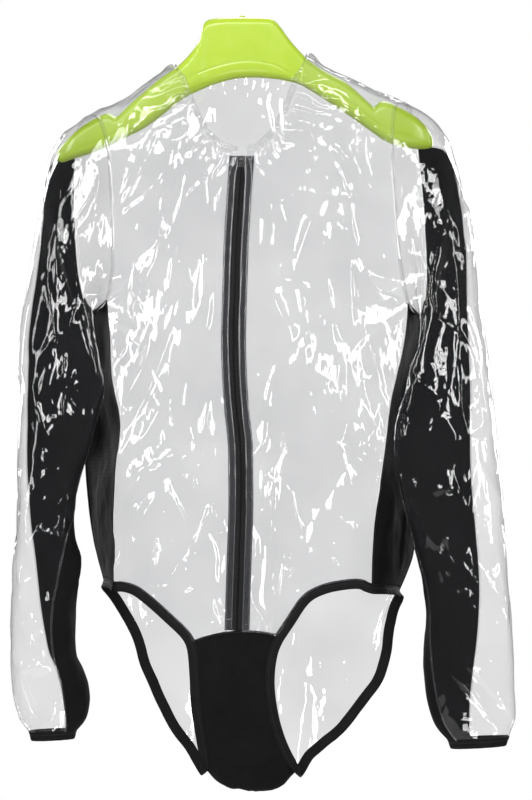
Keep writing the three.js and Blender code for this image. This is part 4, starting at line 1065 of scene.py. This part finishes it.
# %% [markdown]
# ### Neck strip
# The neck strip is film drawn up on thin elastic, so it is all small gathers. Its fine rows carry a wave
# that is strongest at the free edge.

# %% Neck strip
AT_SHOULDER = 0.3               # share of the strip's width that still stands up at the shoulder seams
place, side_at, down_at = fine_rows(ROWS["neckband"], 0.9 * MM)
out = row_normals(place)
run = down_at[:, None]
away = np.linspace(0, 1, place.shape[1])[None, :]
lumps = slow(place.reshape(-1, 3), 0.018, 650).reshape(place.shape[:2])
wave = np.sin(2 * math.pi * run / GATHER_PITCH + 4 * lumps) + 0.6 * np.sin(4.6 * math.pi * run / GATHER_PITCH)
free_edge = away if place[len(place) // 4, 0, 2] < place[len(place) // 4, -1, 2] else 1 - away
below_shoulder = smoothstep((GATHER_TOP - place[..., 2]) / 0.02)
shaped = place + out * (((0.5 + 0.9 * free_edge) * wave + lumps) * MM * below_shoulder)[..., None]
sewn = place[:, :1] if free_edge[0, 0] < free_edge[0, -1] else place[:, -1:]
upright = AT_SHOULDER + (1 - AT_SHOULDER) * below_shoulder.mean(axis=1)
shaped = sewn + (shaped - sewn) * upright[:, None, None]
neck_strip = shell("neck_strip_film", shaped, 0.5 * MM, side_at, down_at)
note_cut(neck_strip, place)
dress(neck_strip, ["neckband"], FILM_DOUBLE, "clear_film")


# %% [markdown]
# ## Seams
# Where two pieces meet, a narrow strip covers both edges: welded film on film, a bound edge where film
# meets knit. It lies on the finished surface, so it follows the creases.


# %% Seam strips
def line_normals(line, rows):
    """The surface normal of a grid of points at each point of a line."""
    spots = Spots(rows.reshape(-1, 3))
    index, _ = spots.nearest(line)
    return row_normals(rows).reshape(-1, 3)[index]


def seam_strip(name, line, out, width, thick, material, slot, lift=0.15 * MM, closed=False):
    """A flat ribbon with rounded edges on a line."""
    if closed:
        ahead = np.roll(line, -1, axis=0) - np.roll(line, 1, axis=0)
    else:
        ahead = np.gradient(line, axis=0)
    sideways = np.cross(out, ahead)
    sideways /= np.linalg.norm(sideways, axis=1, keepdims=True)
    columns = []
    for t, rise in ((-1, 0.2), (-0.8, 0.85), (-0.3, 1.0), (0.3, 1.0), (0.8, 0.85), (1, 0.2)):
        columns.append(line + sideways * (t * width / 2) + out * (lift + rise * thick))
    place = np.stack(columns, axis=1)
    if row_normals(place)[len(place) // 2, 2].dot(out[len(out) // 2]) < 0:
        place = place[:, ::-1]
    run = lengths(line)
    obj = shell(name, place, thick, np.linspace(0, width, 6), run, closed)
    return dress(obj, [], material, slot)


def edge_line(node, spot, which=closer):
    """The finished edge column of a panel, nearer to or farther from a spot."""
    fine = FINE[node]
    return which((fine[:, 0], fine[:, -1]), spot)


PARTS = {}                      # panel piece: the strips sewn to it
for side in SIDES:
    loop = loop_of(FINE[f"sleeve_{side}_clear"][0], FINE[f"sleeve_{side}_black"][0])
    loop = fine_line(loop[::2], 2.5 * MM, closed=True)[:-1]
    out = loop - loop.mean(axis=0)
    inward = BODY_AXIS.x - loop[:, 0].mean()
    out[:, 0] = -np.sign(inward) * 0.02
    out /= np.linalg.norm(out, axis=1, keepdims=True)
    armhole = seam_strip(f"armhole_{side}_seam", loop, out, 4.5 * MM, 0.4 * MM, FILM_DOUBLE, "clear_film", closed=True)
    PARTS[f"sleeve_{side}_film"] = [armhole]

    knit = FINE[f"side_{side}"]
    strips = []
    for word, line in (("front", knit[:, 0]), ("rear", knit[:, -1])):
        out = line_normals(line, knit)
        strips.append(seam_strip(f"side_{side}_{word}_seam", line, out, 4 * MM, 0.5 * MM, KNIT, "black_fabric"))
        stitch_lines[f"side_{side}_{word}"] = line + out * 0.8 * MM
    PARTS[f"side_{side}_knit"] = strips

    knit = FINE[f"sleeve_{side}_black"]
    strips = []
    for word, line in (("front", knit[:, 0]), ("rear", knit[:, -1])):
        out = line_normals(line, knit)
        strips.append(seam_strip(
            f"sleeve_{side}_{word}_seam", line, out, 3.5 * MM, 0.4 * MM, FILM_DOUBLE, "clear_film"))
    PARTS[f"sleeve_{side}_knit"] = strips

for word, row in (("front", 0), ("rear", -1)):
    line = FINE["gusset"][row]
    out = line_normals(line, FINE["gusset"])
    strip = seam_strip(f"gusset_{word}_seam", line, out, 4.5 * MM, 0.6 * MM, KNIT, "black_fabric")
    PARTS.setdefault("gusset_knit", []).append(strip)
    stitch_lines[f"gusset_{word}"] = line + out * 0.9 * MM

# %% [markdown]
# ## The zip
# Two woven tapes lie behind the film edges and meet at a nylon coil. The film is turned under beside
# the coil and stitched down, which leaves a glossy double strip on each side.

# %% Tapes and turned edges
TURNED = 8.5 * MM               # width of the turned film beside the coil
zip_middle = 0.5 * (
    closer(sides_of("zip_tape_right"), middle("zip_tape_left"))
    + closer(sides_of("zip_tape_left"), middle("zip_tape_right"))
)
zip_line = fine_line(zip_middle, 2 * MM)
zip_out = np.tile([0.0, -1.0, 0.0], (len(zip_line), 1))
for side in SIDES:
    place, side_at, down_at = fine_rows(ROWS[f"zip_tape_{side}"], 2.2 * MM)
    tape_piece = shell(f"zip_{side}_tape", place + row_normals(place) * 0.6 * MM, 0.7 * MM, side_at, down_at)
    note_cut(tape_piece, place)
    dress(tape_piece, [f"zip_tape_{side}"], TAPE, "zip_tape")

    front = FINE[f"front_{side}"]
    gaps = [np.linalg.norm(front[-1, column] - zip_line[-1]) for column in (0, -1)]
    inner = front if gaps[0] < gaps[1] else front[:, ::-1]
    top = np.argmin(np.abs(inner[:, 0, 2] - zip_line[0, 2]))
    edge = inner[top:, 0]
    outward = np.sign(edge[:, 0].mean() - zip_line[:, 0].mean())
    columns = []
    for t in np.linspace(0, 1, 7):
        spot = edge.copy()
        spot[:, 0] += outward * (t * TURNED - 0.4 * MM)
        pucker = np.exp(-((edge[:, 2] - edge[-1, 2]) / 0.028) ** 2) * np.sin(edge[:, 2] / MM * 1.05 + 2 * t)
        small = slow(spot / [3, 1, 1], 0.006, 660)
        swell = 0.25 * small + 0.6 * pucker + 0.25
        spot[:, 1] -= 0.35 * MM + (0.35 + 0.7 * np.sin(math.pi * t)) * MM * swell
        columns.append(spot)
    turned = np.stack(columns, axis=1)
    if row_normals(turned)[5, 3, 1] > 0:
        turned = turned[:, ::-1]
    strip = shell(f"front_{side}_turned_edge", turned, 0.35 * MM, np.linspace(0, TURNED, 7), lengths(edge))
    dress(strip, [], FILM_TURNED, "clear_film")
    PARTS[f"front_{side}_film"] = [strip]
    for word, out, wide in (("fold", 0.5, 0.9), ("weld", 7.4, 1.2)):
        line = edge.copy()
        line[:, 0] += outward * out * MM
        line[:, 1] -= 1.0 * MM
        toward = np.tile([0.0, -1.0, 0.0], (len(line), 1))
        rib = seam_strip(f"front_{side}_{word}", line, toward, wide * MM, 0.4 * MM, FILM_WELD, "clear_film")
        PARTS[f"front_{side}_film"].append(rib)
    stitched = edge.copy()
    stitched[:, 0] += outward * 6.6 * MM
    stitched[:, 1] -= 1.0 * MM
    stitch_lines[f"zip_{side}"] = stitched

# %% [markdown]
# ## Small things in rows
# Stitches and the coil's teeth are one small bead, repeated along a line. Geometry Nodes do that: the
# line becomes a curve, the curve is cut at an even pitch, and a bead is set at each cut, turned along
# the line.


# %% A tree that sets beads along a line
def bead_row_tree():
    tree = bpy.data.node_groups.new("beads_along_a_line", "GeometryNodeTree")
    face = tree.interface
    face.new_socket(name="Line", in_out="INPUT", socket_type="NodeSocketGeometry")
    for word in ("Pitch", "Wide", "Deep", "Long"):
        face.new_socket(name=word, in_out="INPUT", socket_type="NodeSocketFloat")
    face.new_socket(name="Finish", in_out="INPUT", socket_type="NodeSocketMaterial")
    face.new_socket(name="Beads", in_out="OUTPUT", socket_type="NodeSocketGeometry")

    def add(kind, **values):
        node = tree.nodes.new(kind)
        for key, value in values.items():
            setattr(node, key, value)
        return node

    def link(a, b):
        tree.links.new(a, b)

    start, end = add("NodeGroupInput"), add("NodeGroupOutput")
    curve = add("GeometryNodeMeshToCurve")
    cut = add("GeometryNodeResampleCurve", mode="LENGTH")
    bead = add("GeometryNodeMeshUVSphere")
    bead.inputs["Segments"].default_value = 6
    bead.inputs["Rings"].default_value = 4
    bead.inputs["Radius"].default_value = 0.5
    size = add("ShaderNodeCombineXYZ")
    turn = add("FunctionNodeAlignRotationToVector", axis="Z")
    tangent = add("GeometryNodeInputTangent")
    put = add("GeometryNodeInstanceOnPoints")
    real = add("GeometryNodeRealizeInstances")
    smooth = add("GeometryNodeSetShadeSmooth")
    finish = add("GeometryNodeSetMaterial")
    link(start.outputs["Line"], curve.inputs["Mesh"])
    link(curve.outputs["Curve"], cut.inputs["Curve"])
    link(start.outputs["Pitch"], cut.inputs["Length"])
    link(cut.outputs["Curve"], put.inputs["Points"])
    link(bead.outputs["Mesh"], put.inputs["Instance"])
    link(tangent.outputs["Tangent"], turn.inputs["Vector"])
    link(turn.outputs["Rotation"], put.inputs["Rotation"])
    for word, axis in (("Wide", "X"), ("Deep", "Y"), ("Long", "Z")):
        link(start.outputs[word], size.inputs[axis])
    link(size.outputs["Vector"], put.inputs["Scale"])
    link(put.outputs["Instances"], real.inputs["Geometry"])
    link(real.outputs["Geometry"], smooth.inputs["Geometry"])
    link(smooth.outputs["Geometry"], finish.inputs["Geometry"])
    link(start.outputs["Finish"], finish.inputs["Material"])
    link(finish.outputs["Geometry"], end.inputs["Beads"])
    return tree


BEADS = bead_row_tree()


def bead_row(name, lines, pitch, wide, deep, long, material, slot, closed=False):
    """Beads along one or more lines, as one plain mesh."""
    verts, edges = [], []
    for line in lines:
        base = len(verts)
        verts += [tuple(p) for p in line]
        edges += [(base + k, base + k + 1) for k in range(len(line) - 1)]
        if closed:
            edges.append((base + len(line) - 1, base))
    data = bpy.data.meshes.new(name)
    data.from_pydata(verts, edges, [])
    obj = bpy.data.objects.new(name, data)
    bpy.context.scene.collection.objects.link(obj)
    rows = obj.modifiers.new("beads", "NODES")
    sizes = {"Pitch": pitch, "Wide": wide, "Deep": deep, "Long": long, "Finish": material}
    ids = {item.name: item.identifier for item in BEADS.interface.items_tree if item.in_out == "INPUT"}
    rows.node_group = BEADS
    for word, value in sizes.items():
        rows[ids[word]] = value
    bpy.context.view_layer.update()
    made = bpy.data.meshes.new_from_object(obj.evaluated_get(bpy.context.evaluated_depsgraph_get()))
    obj.modifiers.clear()
    obj.data = made
    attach(obj, "root")
    print(name, len(made.polygons), "faces")
    return obj


# %% Stitches and the coil
STITCH = {"pitch": 3.0 * MM, "wide": 0.5 * MM, "deep": 0.5 * MM, "long": 2.3 * MM}
for side in SIDES:
    bead_row(f"leg_{side}_stitches", [stitch_lines[f"leg_{side}"]], **STITCH, material=THREAD, slot="black_elastic", closed=True)
    bead_row(f"cuff_{side}_stitches", [stitch_lines[f"cuff_{side}"]], **STITCH, material=THREAD, slot="black_elastic", closed=True)
    both = [stitch_lines[f"side_{side}_{word}"] for word in ("front", "rear")]
    bead_row(f"side_{side}_stitches", both, **STITCH, material=THREAD, slot="black_fabric")
    bead_row(f"zip_{side}_stitches", [stitch_lines[f"zip_{side}"]], **STITCH, material=THREAD, slot="zip_tape")
bead_row("gusset_stitches", [stitch_lines["gusset_front"], stitch_lines["gusset_rear"]], **STITCH, material=THREAD, slot="black_fabric")
coil_line = zip_line + zip_out * 1.5 * MM
bead_row("zip_coil", [coil_line], 1.5 * MM, 5.2 * MM, 1.4 * MM, 1.25 * MM, TAPE, "zip_tape")
seam_strip("zip_cord", zip_line, zip_out, 10.8 * MM, 0.9 * MM, TAPE, "zip_tape", lift=0.2 * MM)

# %% [markdown]
# ## The hanger
# The hanger is blown from lime plastic. Subdivision rounds the solid's facets into the soft shoulders of a
# blown shape.


# %% Hanger
def points_of(data):
    flat = np.empty(len(data.vertices) * 3)
    data.vertices.foreach_get("co", flat)
    return flat.reshape(-1, 3)


def move_points(data, place):
    data.vertices.foreach_set("co", place.ravel())
    data.update()


def subdivided(bm, name, levels, keep=0.8):
    """A smooth, fine mesh from a coarse one; keep is how much of the shrinking is undone first."""
    bmesh.ops.join_triangles(bm, faces=bm.faces, angle_face_threshold=0.8, angle_shape_threshold=2.4)
    data = bpy.data.meshes.new(name)
    bm.to_mesh(data)
    bm.free()
    obj = bpy.data.objects.new(name, data)
    bpy.context.scene.collection.objects.link(obj)
    soft = obj.modifiers.new("fine", "SUBSURF")
    coarse = points_of(data)
    for level, wanted in ((2, keep), (levels, 0.0)):
        soft.levels = soft.render_levels = level
        bpy.context.view_layer.update()
        made = bpy.data.meshes.new_from_object(obj.evaluated_get(bpy.context.evaluated_depsgraph_get()))
        shrunk = coarse - points_of(made)[: len(coarse)]
        if wanted and np.abs(shrunk).max() < 0.012:
            move_points(data, coarse + wanted * shrunk)
    obj.modifiers.clear()
    obj.data = made
    made.shade_smooth()
    return obj


# The line where the hanger's front turns under. columns: across, down
LIP = [
    (80, 147), (94, 142.5), (121, 128), (139, 117), (154, 107.5), (173, 90), (182, 82), (196, 73), (211, 67),
    (230, 61.8), (249, 60), (272, 63.2), (294, 74), (310, 82), (334, 92.5), (356, 106), (385, 127.5), (412, 136),
]
LIP_DEEP, LIP_HALF = 0.8 * MM, 1.2 * MM
LIP_REACH = 9 * MM              # the shell is made finer this near to the lip


def press_lip(data):
    """Presses a fine groove into the hanger's front along its lip."""
    line = np.array([((a - MID_ACROSS) * GRID, 0, (TOP_DOWN - d) * GRID) for a, d in LIP])
    spots = Spots(fine_line(line, 1 * MM))
    bm = bmesh.new()
    bm.from_mesh(data)
    near = []
    for edge in bm.edges:
        centre = (edge.verts[0].co + edge.verts[1].co) / 2
        flat = np.array([[centre.x, 0, centre.z]])
        if centre.y < -0.008 and spots.nearest(flat)[1][0] < LIP_REACH and edge.calc_length() > 2.5 * MM:
            near.append(edge)
    bmesh.ops.subdivide_edges(bm, edges=near, cuts=5, use_grid_fill=True, smooth=0)
    bmesh.ops.triangulate(bm, faces=[f for f in bm.faces if len(f.verts) > 4])
    bm.to_mesh(data)
    bm.free()
    place = points_of(data)
    front = np.nonzero(place[:, 1] < -0.008)[0]
    flat = place[front] * [1, 0, 1]
    _, away = spots.nearest(flat)
    place[front, 1] += LIP_DEEP * np.exp(-((away / LIP_HALF) ** 2))
    move_points(data, place)
    data.shade_smooth()


hanger = subdivided(welded("hanger"), "hanger_shell", 3)
press_lip(hanger.data)
dress(hanger, ["hanger"], LIME, "lime_plastic")
print("hanger faces", len(hanger.data.polygons))

# %% [markdown]
# ## Lights and ground
# The photo has a pure white ground and crisp white glints. The world is white for the camera and for soft
# light, but dim for mirrors, so that the film stays clear; tall lamps left, right and above make the
# glints, and the same lamps stand behind the coat for the other views.


# %% World, floor and lamps
world = bpy.data.worlds.new("studio")
world.use_nodes = True
tree = world.node_tree
background = next(n for n in tree.nodes if n.type == "BACKGROUND")
rays = tree.nodes.new("ShaderNodeLightPath")
for_mirrors, for_cloth = tree.nodes.new("ShaderNodeMapRange"), tree.nodes.new("ShaderNodeMapRange")
for_cloth.inputs[3].default_value = 1.0         # seen by the camera
for_cloth.inputs[4].default_value = 0.75        # seen by cloth
for_mirrors.inputs[4].default_value = 0.11      # seen in mirrors
tree.links.new(rays.outputs["Is Diffuse Ray"], for_cloth.inputs[0])
tree.links.new(for_cloth.outputs[0], for_mirrors.inputs[3])
tree.links.new(rays.outputs["Is Glossy Ray"], for_mirrors.inputs[0])
background.inputs[0].default_value = (1.0, 1.0, 1.0, 1)
tree.links.new(for_mirrors.outputs[0], background.inputs[1])
bpy.context.scene.world = world

floor_data = bpy.data.meshes.new("floor")
FLOOR_Z, FLOOR_HALF = -1.75, 1.6
floor_data.from_pydata(
    [(-FLOOR_HALF, -FLOOR_HALF, FLOOR_Z), (FLOOR_HALF, -FLOOR_HALF, FLOOR_Z),
     (FLOOR_HALF, FLOOR_HALF, FLOOR_Z), (-FLOOR_HALF, FLOOR_HALF, FLOOR_Z)],
    [], [(0, 1, 2, 3)],
)
floor = bpy.data.objects.new("floor", floor_data)
bpy.context.scene.collection.objects.link(floor)
floor_finish = Finish("pale_floor", (0.9, 0.9, 0.9), 0.9)
floor_data.materials.append(floor_finish.material)
floor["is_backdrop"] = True

# columns: x, y, z, wide, high, watts, lights cloth too
LAMPS = [
    (-0.7, -2.2, 1.5, 0.9, 0.9, 26, True),
    (-1.25, -2.1, 0.1, 0.42, 1.3, 28, False),
    (1.2, -2.2, -0.1, 0.36, 1.3, 24, False),
    (-0.1, -2.2, 1.25, 1.1, 0.30, 18, False),
    (0.1, -2.2, -1.9, 0.9, 0.25, 10, False),
    (-2.0, -0.6, 0.0, 0.3, 1.5, 16, False),
    (2.0, -0.6, 0.0, 0.3, 1.5, 16, False),
    (-1.3, 2.0, 0.1, 0.4, 1.3, 24, False),
    (1.3, 2.0, 0.0, 0.4, 1.3, 24, False),
    (0.3, 2.2, 1.4, 0.9, 0.9, 22, True),
]
for k, (x, y, z, wide, high, watts, lights_cloth) in enumerate(LAMPS):
    lamp = bpy.data.lights.new(f"lamp_{k}", "AREA")
    lamp.shape = "RECTANGLE"
    lamp.size, lamp.size_y, lamp.energy = wide, high, watts
    obj = bpy.data.objects.new(f"lamp_{k}", lamp)
    obj.location = (x, y, z)
    obj.rotation_euler = (Vector((0, 0, -0.45)) - obj.location).to_track_quat("-Z", "Y").to_euler()
    obj.visible_camera = False
    obj.visible_diffuse = lights_cloth
    bpy.context.scene.collection.objects.link(obj)

scene = bpy.context.scene
scene.view_settings.view_transform = "Standard"
scene.cycles.transparent_max_bounces = 32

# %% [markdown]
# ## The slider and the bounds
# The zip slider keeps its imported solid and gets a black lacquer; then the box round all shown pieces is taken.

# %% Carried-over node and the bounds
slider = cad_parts["zip_slider"].data
slider.materials.clear()
slider.materials.append(LACQUER)

low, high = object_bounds()
